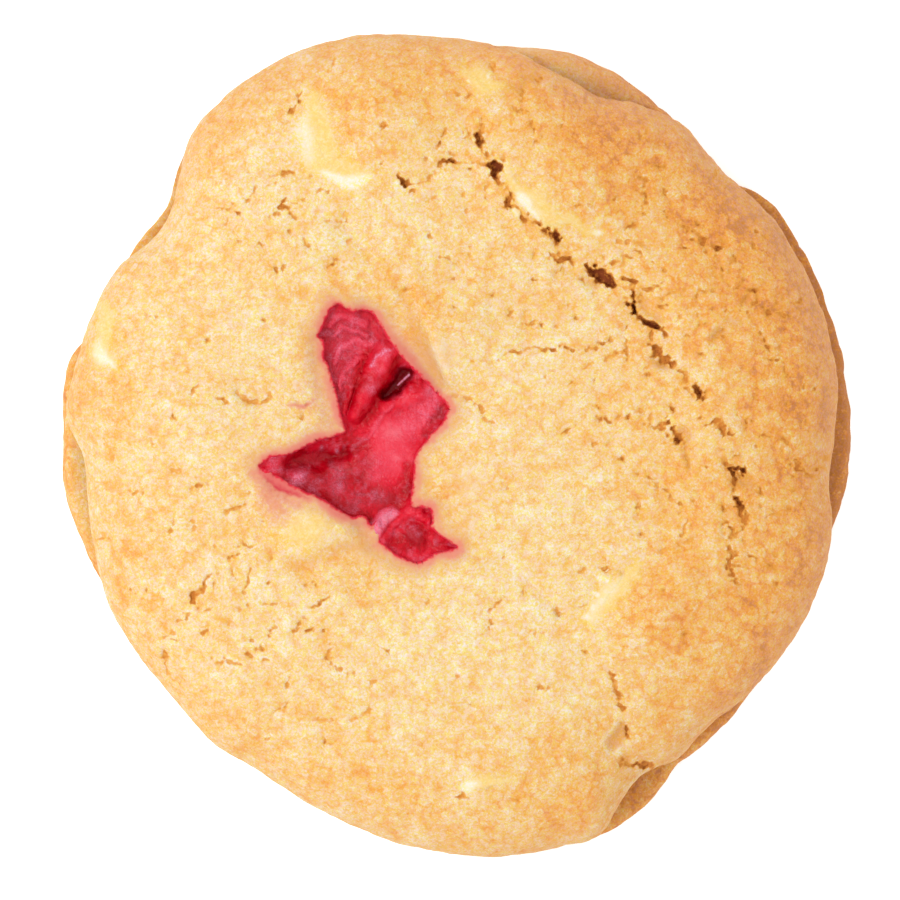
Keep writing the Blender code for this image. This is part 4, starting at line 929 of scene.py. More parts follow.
def dough_rings():
    """Vertices and faces of the smooth dough, and each vertex's zone: TOP, SIDE or BASE."""
    points = [np.zeros((1, 3))]
    zones = [np.full(1, TOP)]
    rings = []
    total = 1
    mean_radius = np.mean([row[1] for row in DOME_OUTLINE])

    def add(radius_height, step, zone, radius_share):
        nonlocal total
        count = max(6, int(2 * math.pi * mean_radius * radius_share / step))
        bearings = np.arange(count) * 360.0 / count
        radius, height = radius_height(bearings)
        x, y = radius * np.cos(np.radians(bearings)), radius * np.sin(np.radians(bearings))
        points.append(np.column_stack([x, y, height]))
        zones.append(np.full(count, zone))
        rings.append(np.arange(total, total + count))
        total += count

    for share in top_shares():
        add(lambda b, share=share: (share * around(DOME_OUTLINE, b), 0.0 * b), TOP_STEP, TOP, share)

    sample = side_controls(np.arange(0.0, 360.0, 5.0)).mean(axis=2)
    for k in range(len(sample) - 1):
        length = np.hypot(*(sample[k + 1] - sample[k]))
        parts = max(2, round(length / SIDE_STEP))
        for part in range(1, parts + 1):
            at = k + part / parts
            add(lambda b, at=at: side_ring(side_controls(b), at), SIDE_STEP, SIDE, 1.0)

    def flat_base(share):
        return lambda b: (share * (around(FOOT_OUTLINE, b) - FOOT_EDGE_ROUNDING), 0.0 * b)

    base_count = int(mean_radius / BASE_STEP)
    for ring in range(1, base_count):
        share = 1 - ring / base_count
        add(flat_base(share), BASE_STEP, BASE, share)
    points.append(np.zeros((1, 3)))
    zones.append(np.full(1, BASE))

    faces = [zip_rings(inner, outer) for inner, outer in zip(rings, rings[1:])]
    first = rings[0]
    faces.append(np.column_stack([np.zeros(len(first), int), first, np.roll(first, -1)]))
    last = rings[-1]
    faces.append(np.column_stack([last, np.full(len(last), total), np.roll(last, -1)]))
    return np.concatenate(points), np.concatenate(faces), np.concatenate(zones)


def random_ticks():
    """Short random zigzag cracks, as rows of (x, y, width, depth)."""
    draw = np.random.default_rng(SEED)
    ticks = []
    while len(ticks) < TICKS:
        at = draw.uniform(-38.0, 38.0, 2)
        if np.hypot(*at) > TICK_LIMIT or draw.uniform() > swell(at[0], at[1], TICK_AREAS):
            continue
        turn = draw.uniform(-0.25 * math.pi, 0.5 * math.pi)
        length = 0.25 + 1.9 * draw.uniform() ** 2
        forward = np.array([math.cos(turn), math.sin(turn)])
        sideways = np.array([-math.sin(turn), math.cos(turn)])
        width = draw.uniform(0.16, 0.36)
        depth = draw.uniform(0.3, 1.3)
        rows = []
        for along, share in ((-0.5, 0.5), (-0.2, 1.0), (0.15, 0.8), (0.5, 0.4)):
            bend = draw.uniform(-0.28, 0.28) * min(1.0, length)
            spot = at + along * length * forward + bend * sideways
            rows.append((spot[0], spot[1], share * width, share * depth))
        ticks.append(tuple(rows))
    return ticks


def crack_fields(places, table, hidden):
    """How far cracks lower each place and darken it as painted shade, and how far it is from the nearest wall
    of one.
    """
    depth = np.zeros(len(places.x))
    shade = np.zeros(len(places.x))
    clear = np.full(len(places.x), FAR)
    for line in table:
        chosen = places.near(line, CRACK_MARGIN)
        distance, (width, deep) = line_distance(places.warp_x[chosen], places.warp_y[chosen], line)
        width = width * (0.72 + 0.06 * deep)
        away = distance - 0.5 * width
        clear[chosen] = np.minimum(clear[chosen], np.abs(away))
        open_here = 1 - hidden[chosen]
        away = away + places.crumble[chosen]
        wall = (1 - ease(away / WALL_WIDTH + 0.55)) * open_here
        shade_band = (1 - ease(away / SHADE_WIDTH + 0.42)) * open_here
        sag = 0.10 * np.exp(-((distance / (0.5 + 0.6 * width)) ** 2)) * open_here
        drop = np.minimum((0.2 + 0.2 * ease((deep - 1.2) / 1.4)) * deep, CRACK_DEPTH_LIMIT)
        depth[chosen] = np.maximum(depth[chosen], wall * drop + sag)
        shade[chosen] = np.maximum(shade[chosen], shade_band * np.minimum((deep + 0.3) / 3.5, 1.0))
    return depth, shade, clear


def soft_drop(places, torn):
    """How far dents, folds and the lip of the torn edge lower the crust at each place."""
    lip = 0.30 * np.exp(-np.maximum(torn, 0) / 0.35)
    return 0.55 * places.soft(DENTS, DENT_WIDTH) + places.soft(FOLDS, FOLD_WIDTH) + lip


def browning_and_shade(x, y, z, zone):
    """How brown the crust looks, from 0 for the palest to 1 for the foot's edge: baking, with painted shade
    and light.
    """
    bearing, share = dome_share(x, y)
    # Browner towards the right: partly baking, partly painted shade of the side away from the light.
    toward_right = (0.5 + 0.5 * np.cos(np.radians(bearing - 20))) ** 1.6
    outer = ease((share - 0.45) / 0.5) * (0.02 + 0.34 * toward_right)
    top = 0.172 + 0.04 * ease((x + 14) / 44) + outer + swell(x, y, BROWN_AND_SHADE_PATCHES)
    top = top + 0.13 * ease((share - 0.84) / 0.16) * toward_right
    # The foot: darker towards the right as painted shade, and paler near the floor as painted light bounced
    # from it.
    low = (0.5 + 0.5 * toward_right) * (1 - 0.3 * ease((1.4 - z) / 1.0))
    side = np.where(zone >= SIDE, ease((SHOULDER_HEIGHT - z) / 4.5), 0.0)
    return np.where(zone == BASE, 0.8, top + (low - top) * side)


def calmness(x, y, torn, yellow):
    """1 where the crust is smooth, beside the torn edge and on bare chocolate, 0 where it is crumbly."""
    areas = np.minimum(swell(x, y, CALM_AREAS), 1)
    calm = np.maximum(np.exp(-np.maximum(torn, 0) / 1.2), areas)
    return np.maximum(calm, 0.75 * ease(2.0 * yellow - 0.6))


def creases(points, wavelength, seed, sharpness):
    """1 along the thin winding lines where noise is 0, falling to 0 beside them."""
    return np.maximum(0.0, 1 - sharpness * np.abs(noise(points, wavelength, seed)))


def crumbs(points):
    """Height of the crumbly relief at each place of the smooth crust."""
    bumps = sum(
        height * noise(points, wavelength, seed)
        for height, wavelength, seed in ((0.09, 3.3, 51), (0.075, 1.7, 52), (0.06, 0.95, 53))
    )
    return bumps - 0.07 * creases(points, 2.1, 54, 4) - 0.05 * creases(points, 1.2, 55, 3)


def crumb_share(calm, baked_and_shade):
    """How much of the crumbly relief shows."""
    return (1 - 0.8 * calm) * (0.5 + 1.1 * np.clip(baked_and_shade, 0, 0.6))


def uneven(points):
    """Slow variation of the baking."""
    return 0.035 * noise(points, 8.0, 61) + 0.03 * noise(points, 3.5, 62)


class Crust:
    """What the top crust is like at each place: how calm, how cracked, and the marks of its strips."""

    def __init__(self, x, y, torn, ticks=()):
        places = Places(x, y, CRACK_WARP)
        yellow = places.soft(YELLOW_STRIPS, YELLOW_WIDTH, YELLOW_BEND)
        self.calm = calmness(x, y, torn, yellow)
        depth, shade, _ = crack_fields(places, CRACKS, np.zeros(len(x)))
        tick_depth, tick_shade, _ = crack_fields(places, ticks, ease(2.5 * self.calm))
        self.drop = np.maximum(depth, tick_depth) + soft_drop(places, torn)
        self.marks = {
            "stain": places.soft(STAINS, STAIN_WIDTH),
            "yellow": yellow,
            "white": places.soft(WHITE_STRIPS, WHITE_WIDTH, WHITE_BEND),
            "hollow": np.maximum(shade, tick_shade),
            "dent_shade": np.clip(places.soft(DENTS, DENT_WIDTH), 0, 1),
            "calm": self.calm,
        }


def make_dough(material):
    points, faces, zone = dough_rings()
    inner = (zone == TOP) & (dome_share(points[:, 0], points[:, 1])[1] < FINE_SHARE)
    ticks = random_ticks()
    for reach in (FINE_REACH, FINEST_REACH):
        places = Places(points[:, 0], points[:, 1])
        clear = crack_fields(places, list(CRACKS) + ticks, np.zeros(len(points)))[2]
        clear = np.minimum(clear, np.abs(torn_distance(points[:, 0], points[:, 1])))
        old = len(points)
        points, faces = refine(points, faces, inner & (clear < reach))
        inner = np.concatenate([inner, np.ones(len(points) - old, bool)])
        zone = np.concatenate([zone, np.full(len(points) - old, TOP)])

    top = zone == TOP
    x, y = points[top, 0], points[top, 1]
    torn = torn_distance(x, y)
    spot = flat_points(x, y)
    torn = torn + np.where(torn < 2, 0.07 * noise(spot, 0.5, 3) + 0.03 * noise(spot, 0.22, 4), 0)
    crust = Crust(x, y, torn, ticks)

    def whole(values, rest=0.0):
        """Values of the top, and the rest's value everywhere else."""
        spread = np.full(len(points), rest)
        spread[top] = values
        return spread

    points[top, 2] = crust_height(x, y)
    normals = vertex_normals(points, faces)
    lowered = points[top, 2] - crust.drop
    hole = HOLE_DEPTH * ease(-torn / 0.3)
    lowered = np.where(torn < 0, np.maximum(lowered - hole, HOLE_FLOOR), lowered)

    baked_and_shade = browning_and_shade(points[:, 0], points[:, 1], points[:, 2], zone)
    relief = crumb_share(whole(crust.calm, SIDE_CALM), baked_and_shade) * crumbs(points)
    relief = np.where(zone == BASE, 0.0, relief)
    baked_and_shade += uneven(points)
    push = relief + np.where(zone == SIDE, 0.14 * noise(points, 5.0, 57), 0.0)
    points[top, 2] = lowered
    points += normals * push[:, None]
    points[:, 2] = np.where(zone == BASE, 0.0, np.maximum(points[:, 2], 0.0))

    bearing, share = dome_share(points[:, 0], points[:, 1])
    # A pinkish paler rim, stronger at some bearings: partly the crust's own colour, partly a painted sheen of
    # the bright surroundings reflected at the grazing rim.
    rosy_sheen = np.where(zone == TOP, ease((share - 0.88) / 0.12), ease((points[:, 2] - 4.0) / 3.0))
    marks = {
        # The browning mark also holds painted shade and light.
        "baked_and_shade": baked_and_shade,
        "rosy_sheen": rosy_sheen * (0.6 + 0.4 * np.cos(np.radians(bearing - 35))),
        "torn": whole(np.clip((torn + 1) / 5, 0, 1), 1.0),
        "relief": relief / FULL_RELIEF,
    }
    for name, values in crust.marks.items():
        marks[name] = whole(values, SIDE_CALM if name == "calm" else 0.0)
    make_piece("crust", points, faces, marks, material, "cookie_dough")


def star_lump(outline, centre, floor, rings, surface):
    """A closed lump whose top is a function of the place, as rings from its centre to its outline."""
    centre = np.asarray(centre, float)
    count = len(outline)
    shares = np.repeat(np.arange(1, rings + 1) / rings, count)
    at = centre + (np.tile(outline, (rings, 1)) - centre) * shares[:, None]
    at = np.concatenate([centre[None], at])
    shares = np.concatenate([[0.0], shares])
    height, marks = surface(at[:, 0], at[:, 1], shares)
    base = centre + (outline - centre) * 0.96
    low = np.column_stack([np.concatenate([base, centre[None]]), np.full(count + 1, floor)])
    points = np.concatenate([np.column_stack([at, height]), low])
    marks = {name: np.concatenate([value, value[-count:], value[:1]]) for name, value in marks.items()}
    loop = np.arange(count)
    after = np.roll(loop, -1)
    faces = [np.column_stack([np.zeros(count, int), 1 + loop, 1 + after])]
    for ring in range(rings):
        inner, outer = 1 + ring * count, 1 + (ring + 1) * count
        faces.append(np.column_stack([inner + loop, outer + loop, outer + after]))
        faces.append(np.column_stack([inner + loop, outer + after, inner + after]))
    last = 1 + rings * count
    faces.append(np.column_stack([last + loop, np.full(count, len(points) - 1), last + after]))
    return points, np.concatenate(faces), marks


def even_outline(points, step):
    """A closed outline as points an even step apart."""
    closed = np.concatenate([points, points[:1]])
    length = np.concatenate([[0.0], np.cumsum(np.hypot(*np.diff(closed, axis=0).T))])
    count = int(length[-1] / step)
    wanted = np.arange(count) * length[-1] / count
    return np.column_stack([np.interp(wanted, length, closed[:, k]) for k in range(2)])


def ridge(x, y, line):
    """1 on the middle of a rounded strip of (x, y, half width) rows, 0 off it, with soft borders."""
    distance, (half,) = line_distance(x, y, line)
    return np.clip(1 - (distance / half) ** 2, 0.0, 1.0) ** 1.3


def glow(x, y, line):
    """1 on the middle of a bell-shaped strip of (x, y, reach) rows."""
    distance, (reach,) = line_distance(x, y, line)
    return np.exp(-((distance / reach) ** 2))


def pulp(x, y, share):
    """Height of the raspberry flesh at each place, and its marks: tone, pale flesh with painted highlights,
    and painted shade in its hollows.
    """
    spot = flat_points(x, y)
    drift = 0.26 * noise(spot, 1.3, 71) + 0.10 * noise(spot, 0.6, 69)
    wx, wy = x + drift, y + 0.26 * noise(spot, 1.3, 72) + 0.10 * noise(spot, 0.6, 70)
    fold = np.max([ridge(wx, wy, line) for line in PULP_FOLDS], axis=0)
    finger, flap, seam, rim, bridge = (ridge(wx, wy, line) for line in (FINGER, FLAP, SEAM, RIM, BRIDGE))
    gullet = 1 - ease(outline_distance(wx, wy, smooth_outline(GULLET, 4)) / 0.7 + 0.6)
    cavity = 1 - ease(outline_distance(wx, wy, smooth_outline(CAVITY, 4)) / 1.1 + 0.5)
    veins = creases(spot + 2.0 * drift[:, None], 1.0, 73, 3.2)
    veins = np.maximum(veins, 0.8 * creases(spot, 0.5, 74, 3.2))
    lobe = np.exp(-(((wx + 6.6) / 2.3) ** 2 + ((wy - 0.2) / 3.9) ** 2))
    calm = np.clip(1.3 * lobe + 0.7 * finger + 0.5 * flap, 0, 1)

    inside = -torn_distance(x, y)
    wrinkle = 0.09 * noise(spot, 1.0, 75) + 0.04 * noise(spot, 0.45, 76) - 0.06 * veins
    height = crust_height(x, y) - soft_drop(Places(x, y), -inside) - 1.05
    height = height + 0.75 * np.exp(-np.maximum(inside, 0) / 0.5) + swell(wx, wy, PULP_SWELLS)
    height = height + 0.24 * fold + 0.9 * finger + 0.4 * flap + 0.12 * seam + 0.5 * rim + 0.45 * bridge
    height = height + wrinkle * (1 - 0.8 * calm) - 1.2 * gullet - 0.8 * cavity - 0.15 * share**6

    upper = swell(x, y, UPPER_FLESH)
    beside = sum(glow(x, y, line) for line in BESIDE_FINGER)
    # The tone: partly the flesh's own colour, partly painted light and shade, paler on the lobe and the
    # folds' ridges, darker in the veins, beside the finger and along the borders.
    tone = 0.46 + 0.34 * lobe - 0.06 * finger + 0.04 * flap + 0.16 * noise(spot, 1.6, 77)
    tone = tone + upper * (0.3 * fold - 0.08) - 0.2 * veins * (1 - calm) + 0.08 * rim + 0.55 * bridge
    tone = tone + swell(wx, wy, TONE_SPOTS) - 0.36 * beside
    tone = tone - sum(amount * glow(x, y, line) for amount, line in DEEP_BORDERS)
    tone = tone - sum(amount * glow(wx, wy, line) for amount, line in DRIFTING_BORDERS)

    streak = glow(x, y, STREAK)
    # Pale flesh on the bridge and the seam, and painted highlights: the crest, the glint in the gullet, the
    # ridges of the folds and the spots.
    highlight_and_pale = np.clip(0.7 * noise(spot, 0.8, 78) + 0.6 * noise(spot, 0.35, 79), 0, 1) * (1 - 0.7 * calm)
    highlight_and_pale = 0.45 * highlight_and_pale + 1.1 * bridge + 0.3 * seam + 1.3 * glow(wx, wy, CREST) + 2.4 * streak
    highlight_and_pale = highlight_and_pale + upper * (0.28 + 0.3 * fold) - 0.4 * beside + swell(wx, wy, HIGHLIGHT_AND_PALE_SPOTS)
    # Painted shade in the gullet and under the lip.
    dark = np.maximum(gullet * (1 - streak), 0.5 * cavity)
    return height, {"tone": tone, "highlight_and_pale": highlight_and_pale, "dark": dark}


def make_raspberries(material):
    upper = OPENING_UPPER_LEFT + UPPER_SEAM + OPENING_UPPER_RIGHT
    middle = OPENING_UPPER_LEFT[-1:] + OPENING_LOWER_LEFT + TIP_SEAM + OPENING_LOWER_RIGHT
    middle += OPENING_UPPER_RIGHT[:1] + UPPER_SEAM[::-1]
    tip = OPENING_LOWER_LEFT[-1:] + OPENING_TIP + OPENING_LOWER_RIGHT[:1] + TIP_SEAM
    pieces = ("upper", upper, (-9.8, 8.2)), ("middle", middle, (-7.6, -0.4)), ("tip", tip, (-4.4, -8.8))
    for name, corners, centre in pieces:
        outline = even_outline(smooth_outline(corners, 4), PULP_STEP)
        outward = outline - centre
        outline = outline + PULP_OVERLAP * outward / np.hypot(*outward.T)[:, None]
        rings = int(np.hypot(*(outline - centre).T).max() / PULP_STEP)
        points, faces, marks = star_lump(outline, centre, PULP_FLOOR, rings, pulp)
        make_piece(f"{name}_raspberry", points, faces, marks, material, f"raspberry_{name}")


def make_chunk(name, centre, radius, first, last, half_width, material):
    """The bare side of one chunk, a crescent flush with the crust that dips under it at its edges."""
    along = np.linspace(0.0, 1.0, CHUNK_STEPS)
    bearing = np.tile(np.radians(first + (last - first) * along), CHUNK_ROWS)
    half = half_width * np.sin(math.pi * (0.12 + 0.76 * along)) ** 0.8
    across = np.repeat(np.linspace(-1.0, 1.0, CHUNK_ROWS), CHUNK_STEPS)
    reach = radius + np.tile(half, CHUNK_ROWS) * across
    x, y = centre[0] + reach * np.cos(bearing), centre[1] + reach * np.sin(bearing)
    edge = np.maximum(np.abs(across), np.abs(2 * np.tile(along, CHUNK_ROWS) - 1))
    crown = 0.04 - 0.26 * ease((edge + 0.3 * noise(flat_points(x, y), 1.1, 81) - 0.3) / 0.7)

    crust = Crust(x, y, torn_distance(x, y))
    smooth = np.column_stack([x, y, crust_height(x, y)])
    baked_and_shade = browning_and_shade(x, y, smooth[:, 2], np.full(len(x), TOP))
    relief = crumb_share(crust.calm, baked_and_shade) * crumbs(smooth)
    z = smooth[:, 2] - crust.drop + relief + crown

    number = np.arange(len(x)).reshape(CHUNK_ROWS, CHUNK_STEPS)
    rim = np.concatenate([number[:, 0], number[-1, 1:], number[-2::-1, -1], number[0, -2:0:-1]])
    floor = z.min() - CHUNK_DEPTH
    low = np.column_stack([x[rim], y[rim], np.full(len(rim), floor)])
    points = np.concatenate([np.column_stack([x, y, z]), low, [[x.mean(), y.mean(), floor]]])
    base = len(x) + np.arange(len(rim))
    after = np.roll(np.arange(len(rim)), -1)
    a, b = number[:-1, :-1].ravel(), number[1:, :-1].ravel()
    c, d = number[1:, 1:].ravel(), number[:-1, 1:].ravel()
    faces = (
        (a, b, c),
        (a, c, d),
        (rim, base, base[after]),
        (rim, base[after], rim[after]),
        (base, np.full(len(rim), len(points) - 1), base[after]),
    )
    faces = np.concatenate([np.column_stack(corners) for corners in faces])

    marks = {
        # The browning mark also holds painted shade and light.
        "baked_and_shade": baked_and_shade + uneven(smooth),
        # The rim's pinkish paler tint, partly a painted sheen.
        "rosy_sheen": ease((dome_share(x, y)[1] - 0.88) / 0.12) * 0.3,
        "torn": np.ones(len(x)),
        "relief": relief / FULL_RELIEF,
        **crust.marks,
    }
    marks = {mark: np.concatenate([values, values[rim], values[:1]]) for mark, values in marks.items()}
    make_piece(name + "_bare", points, faces, marks, material, name)


def linear(colour):
    """The surface colour that looks like this sRGB colour, with 255 as full, under the scene's light."""
    channels = []
    for value in colour:
        value = value / 255
        value = value / 12.92 if value <= 0.04045 else ((value + 0.055) / 1.055) ** 2.4
        channels.append(value / LIGHT_LEVEL)
    return (*channels, 1.0)


class Nodes:
    """A small helper that adds and joins shader nodes."""

    def __init__(self, name):
        self.material = bpy.data.materials.new(name)
        self.material.use_nodes = True
        self.tree = self.material.node_tree
        self.shader = self.tree.nodes["Principled BSDF"]
        self.place = self.add("ShaderNodeTexCoord").outputs["Object"]

    def join(self, inputs, given):
        """Joins or sets each given input, by its name or number."""
        for key, source in given.items():
            if isinstance(source, bpy.types.NodeSocket):
                self.tree.links.new(source, inputs[key])
            else:
                inputs[key].default_value = source

    def add(self, kind, given=None, **settings):
        node = self.tree.nodes.new(kind)
        for key, value in settings.items():
            setattr(node, key, value)
        self.join(node.inputs, given or {})
        return node

    def mark(self, name):
        return self.add("ShaderNodeAttribute", attribute_name=name).outputs["Fac"]

    def noise(self, wavelength, detail=2.0, roughness=0.5, distortion=0.0, output="Fac"):
        given = {"Vector": self.place, "Scale": 1 / (wavelength * MM), "Detail": detail}
        given.update({"Roughness": roughness, "Distortion": distortion})
        return self.add("ShaderNodeTexNoise", given).outputs[output]

    def shifted(self, wavelength, amount):
        """The place, pushed about by noise of a wavelength, by an amount in millimetres."""
        given = {0: self.noise(wavelength, output="Color"), 1: (2 * amount * MM,) * 3, 2: self.place}
        return self.add("ShaderNodeVectorMath", given, operation="MULTIPLY_ADD").outputs[0]

    def cells(self, size, place):
        """Distance from the middle, and random value, of crumb-like cells."""
        node = self.add("ShaderNodeTexVoronoi", {"Vector": place, "Scale": 1 / (size * MM)})
        split = self.add("ShaderNodeSeparateColor", {0: node.outputs["Color"]})
        return node.outputs["Distance"], split.outputs[0]

    def math(self, operation, total, *values, clamp=False):
        """Values put together by one operation, from the left."""
        for value in values:
            node = self.add("ShaderNodeMath", {0: total, 1: value}, operation=operation, use_clamp=clamp)
            total = node.outputs[0]
        return total

    def times(self, *values):
        return self.math("MULTIPLY", *values)

    def plus(self, *values):
        return self.math("ADD", *values)

    def wobble(self, value, *textures):
        """A value with the variation about the middle of (texture, amount) pairs added."""
        for texture, amount in textures:
            value = self.plus(value, self.times(self.math("SUBTRACT", texture, 0.5), amount))
        return value

    def span(self, value, low, high, to_low=0.0, to_high=1.0):
        """value from low to high becomes to_low to to_high, held at both ends."""
        given = dict(enumerate((value, low, high, to_low, to_high)))
        return self.add("ShaderNodeMapRange", given, interpolation_type="SMOOTHSTEP").outputs[0]

    def ramp(self, value, stops):
        """stops are (position, sRGB colour)."""
        node = self.add("ShaderNodeValToRGB", {0: value})
        elements = node.color_ramp.elements
        while len(elements) < len(stops):
            elements.new(0.5)
        for element, (position, colour) in zip(elements, stops):
            element.position = position
            element.color = linear(colour)
        return node.outputs["Color"]

    def over(self, below, share, colour):
        """A colour, as sRGB or from a node, laid over another as far as share says."""
        above = colour if isinstance(colour, bpy.types.NodeSocket) else linear(colour)
        return self.add("ShaderNodeMix", {0: share, 6: below, 7: above}, data_type="RGBA").outputs[2]

    def tint(self, below, share, factors):
        """A colour with its channels multiplied by factors, as far as share says."""
        given = {0: share, 6: below, 7: (*factors, 1.0)}
        return self.add("ShaderNodeMix", given, data_type="RGBA", blend_type="MULTIPLY").outputs[2]

    def bump(self, height, distance):
        given = {"Height": height, "Distance": distance * MM, "Strength": BUMP_STRENGTH}
        return self.add("ShaderNodeBump", given).outputs["Normal"]

    def finish(self, colour, roughness, glossy=0.5, scatter=None, normal=None):
        """Sets the shader. scatter is the light's share, its spread by channel and its reach in mm."""
        given = {"Base Color": colour, "Roughness": roughness, "Specular IOR Level": glossy}
        if scatter:
            share, spread, reach = scatter
            given.update({"Subsurface Weight": share, "Subsurface Radius": spread})
            given.update({"Subsurface Scale": reach * MM, "Normal": normal})
        self.join(self.shader.inputs, given)
        return self.material


def crust_material(name, roughness, glossy):
    """Baked crust that gives way to smooth chocolate where the marks say that it is bare."""
    nodes = Nodes(name)
    mark, noise, span, times, wobble = nodes.mark, nodes.noise, nodes.span, nodes.times, nodes.wobble
    rough = span(mark("calm"), 0.25, 0.95, 1.0, 0.25)
    broad = noise(2.4, 3.0, 0.6)
    middling = noise(0.9, 2.0, 0.6)
    fine = noise(0.42, 3.0, 0.6)
    tiny = noise(0.2, 2.0, 0.6)
    crumb, crumb_tone = nodes.cells(0.85, nodes.shifted(0.8, 0.35))
    valley = span(crumb, 0.40, 0.75)
    specks = span(noise(0.45, 2.0, 0.6, 0.6), 0.54, 0.76)
    pores = span(noise(0.6, 2.0, 0.6, 0.4), 0.43, 0.33)
    speckle = span(noise(0.26, 2.0, 0.65), 0.42, 0.58)

    strength = nodes.plus(times(mark("baked_and_shade"), 1.1), 0.5)
    # The valleys between crumbs and the low relief are drawn oranger and the high relief paler: painted shade
    # and light of the crumbs, over their own varied tone.
    loose = wobble(0.0, (crumb_tone, 0.22), (fine, 0.58), (tiny, 0.56))
    loose = nodes.plus(loose, times(valley, span(broad, 0.35, 0.65), 0.28), times(specks, -0.2))
    # The browning mark also holds painted shade and light.
    tone = wobble(mark("baked_and_shade"), (broad, 0.24), (middling, 0.3))
    tone = nodes.plus(tone, times(loose, rough, strength), times(mark("relief"), -0.09))
    crust = nodes.ramp(tone, CRUST_COLOURS)
    # The pinkish paler rim: partly the crust's colour, partly a painted sheen.
    crust = nodes.over(crust, times(mark("rosy_sheen"), 0.5), (238, 180, 154))
    crust = nodes.tint(crust, times(pores, rough, 0.7), (0.97, 0.78, 0.42))
    # The slopes of the dents in tan: painted shade.
    dent_shade = wobble(mark("dent_shade"), (fine, 0.3))
    crust = nodes.over(crust, span(dent_shade, 0.1, 0.8, 0.0, 0.75), (240, 170, 106))

    yellow = wobble(mark("yellow"), (fine, 0.6), (middling, 0.6), (broad, 0.4))
    grains = wobble(0.5, (fine, -0.9), (tiny, -0.7), (middling, -0.6))
    crust = nodes.over(crust, span(yellow, 0.0, 1.2, 0.0, 0.85), nodes.ramp(grains, CHOCOLATE_COLOURS))
    # The nearly white strips: pale chocolate with painted highlight.
    white = wobble(mark("white"), (fine, 0.7), (middling, 0.6))
    crust = nodes.over(crust, span(white, 0.1, 1.1, 0.0, 0.95), (255, 247, 236))
    crust = nodes.tint(crust, times(speckle, span(rough, 0.25, 1.0, 0.4, 1.0)), (1.0, 0.965, 0.4))

    hollow = times(mark("hollow"), span(fine, 0.3, 0.7, 0.65, 1.35))
    stain = wobble(mark("stain"), (middling, 0.4), (fine, 0.4))
    torn = wobble(mark("torn"), (fine, 0.12), (middling, 0.08))
    near_torn = wobble(torn, (broad, 0.5))
    # Cracks, darker the deeper they are as painted shade over the crumb's orange, then the rim of the opening
    # and its juice: (value, limits for span, sRGB colour).
    covers = (
        (hollow, (0.04, 0.22, 0.0, 0.86), (247, 170, 68)),
        (hollow, (0.2, 0.46), (226, 138, 52)),
        (hollow, (0.5, 1.0), (160, 74, 30)),
        # The opening's rim in tan: painted shade of its slope, with some juice.
        (near_torn, (0.68, 0.28, 0.0, 0.62), (232, 164, 108)),
        (stain, (0.05, 0.75, 0.0, 0.8), (238, 150, 124)),
        (stain, (0.6, 1.2, 0.0, 0.95), (218, 56, 72)),
        (near_torn, (0.40, 0.23, 0.0, 0.7), (240, 128, 116)),
        (torn, (0.27, 0.205), (236, 36, 64)),
        # The torn wall: its red, brighter than the light allows, is painted light that offsets its shade.
        (torn, (0.19, 0.12), (276, 16, 52)),
    )
    for value, limits, colour in covers:
        crust = nodes.over(crust, span(value, *limits), colour)

    low = nodes.plus(times(fine, 0.8), times(tiny, 0.2), times(valley, 0.2))
    normal = nodes.bump(times(low, rough, strength), -0.13)
    return nodes.finish(crust, roughness, glossy, (0.1, (1.0, 0.55, 0.25), 0.5), normal)


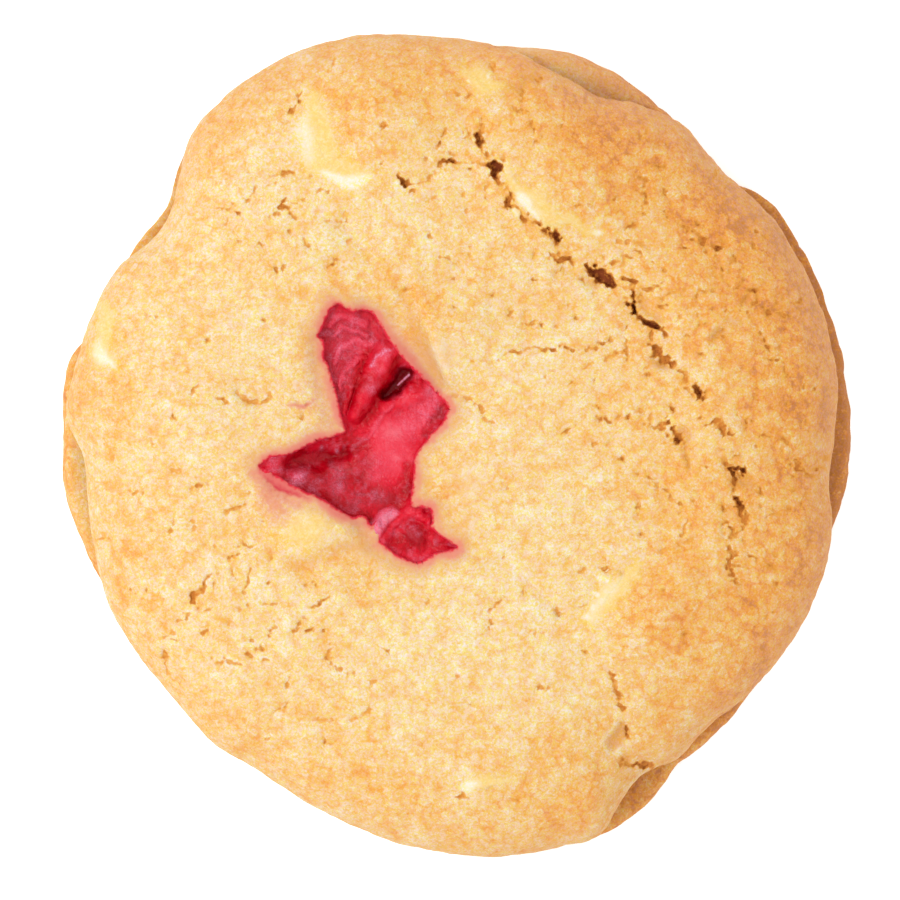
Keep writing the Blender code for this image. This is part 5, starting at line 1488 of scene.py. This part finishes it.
def raspberry_material():
    nodes = Nodes("raspberry_finish")
    fine = nodes.noise(0.5, 3.0, 0.6, 0.8)
    tiny = nodes.noise(0.16, 2.0, 0.6)
    flesh = nodes.ramp(nodes.wobble(nodes.mark("tone"), (fine, 0.35)), FLESH_COLOURS)
    # Pale pink flesh and painted highlights.
    pale_highlight = nodes.times(nodes.mark("highlight_and_pale"), nodes.span(tiny, 0.38, 0.62, 0.4, 1.0))
    flesh = nodes.over(flesh, nodes.math("MULTIPLY", pale_highlight, 0.52, clamp=True), (250, 160, 194))
    # Painted shade of the gullet and of the cavity under the lip.
    flesh = nodes.over(flesh, nodes.span(nodes.mark("dark"), 0.1, 0.95), (132, 0, 12))
    normal = nodes.bump(nodes.plus(nodes.times(fine, 0.75), nodes.times(tiny, 0.25)), 0.17)
    return nodes.finish(flesh, 0.2, 0.08, (0.2, (1.0, 0.12, 0.12), 0.7), normal)


def new_object(name, data):
    thing = bpy.data.objects.new(name, data)
    bpy.context.scene.collection.objects.link(thing)
    return thing


def make_floor():
    mesh = bpy.data.meshes.new("floor")
    corners = [(x * FLOOR_HALF, y * FLOOR_HALF, 0) for x, y in ((-1, -1), (1, -1), (1, 1), (-1, 1))]
    mesh.from_pydata(corners, [], [(0, 1, 2, 3)])
    mesh.materials.append(Nodes("pale_floor").finish(FLOOR_COLOUR, 0.95))
    floor = new_object("floor", mesh)


def set_light():
    """White light from all round, and a soft key light from the left."""
    world = bpy.data.worlds.new("soft_surround")
    world.use_nodes = True
    background = world.node_tree.nodes["Background"].inputs
    background["Color"].default_value = (1.0, 1.0, 1.0, 1.0)
    background["Strength"].default_value = SURROUND_STRENGTH
    bpy.context.scene.world = world
    bpy.context.scene.view_settings.view_transform = "Standard"
    data = bpy.data.lights.new("key", "AREA")
    data.shape = "DISK"
    data.size = KEY_SIZE
    data.energy = KEY_POWER
    lamp = new_object("key", data)
    elevation = math.radians(KEY_ELEVATION)
    lamp.location = (-KEY_DISTANCE * math.cos(elevation), 0.0, KEY_DISTANCE * math.sin(elevation))
    lamp.rotation_euler = (math.pi / 2 - elevation, 0.0, -math.pi / 2)


def set_camera():
    data = bpy.data.cameras.new("camera")
    data.sensor_width = SENSOR
    data.lens = SENSOR * (CAMERA_HEIGHT - FOCUS_HEIGHT) / FRAME_WIDTH
    data.clip_start, data.clip_end = 0.05, 20.0
    camera = new_object("camera", data)
    spot = np.array([-COOKIE_OFF_CENTRE[0], -COOKIE_OFF_CENTRE[1], CAMERA_HEIGHT]) - MIDDLE
    camera.location = spot * MM
    bpy.context.scene.camera = camera


def main():
    make_dough(crust_material("baked_dough_finish", 0.85, 0.15))
    make_raspberries(raspberry_material())
    chocolate = crust_material("white_chocolate_finish", 0.7, 0.2)
    for chunk in CHUNK_ARCS:
        make_chunk(*chunk, chocolate)
    make_floor()
    set_light()
    set_camera()


main()
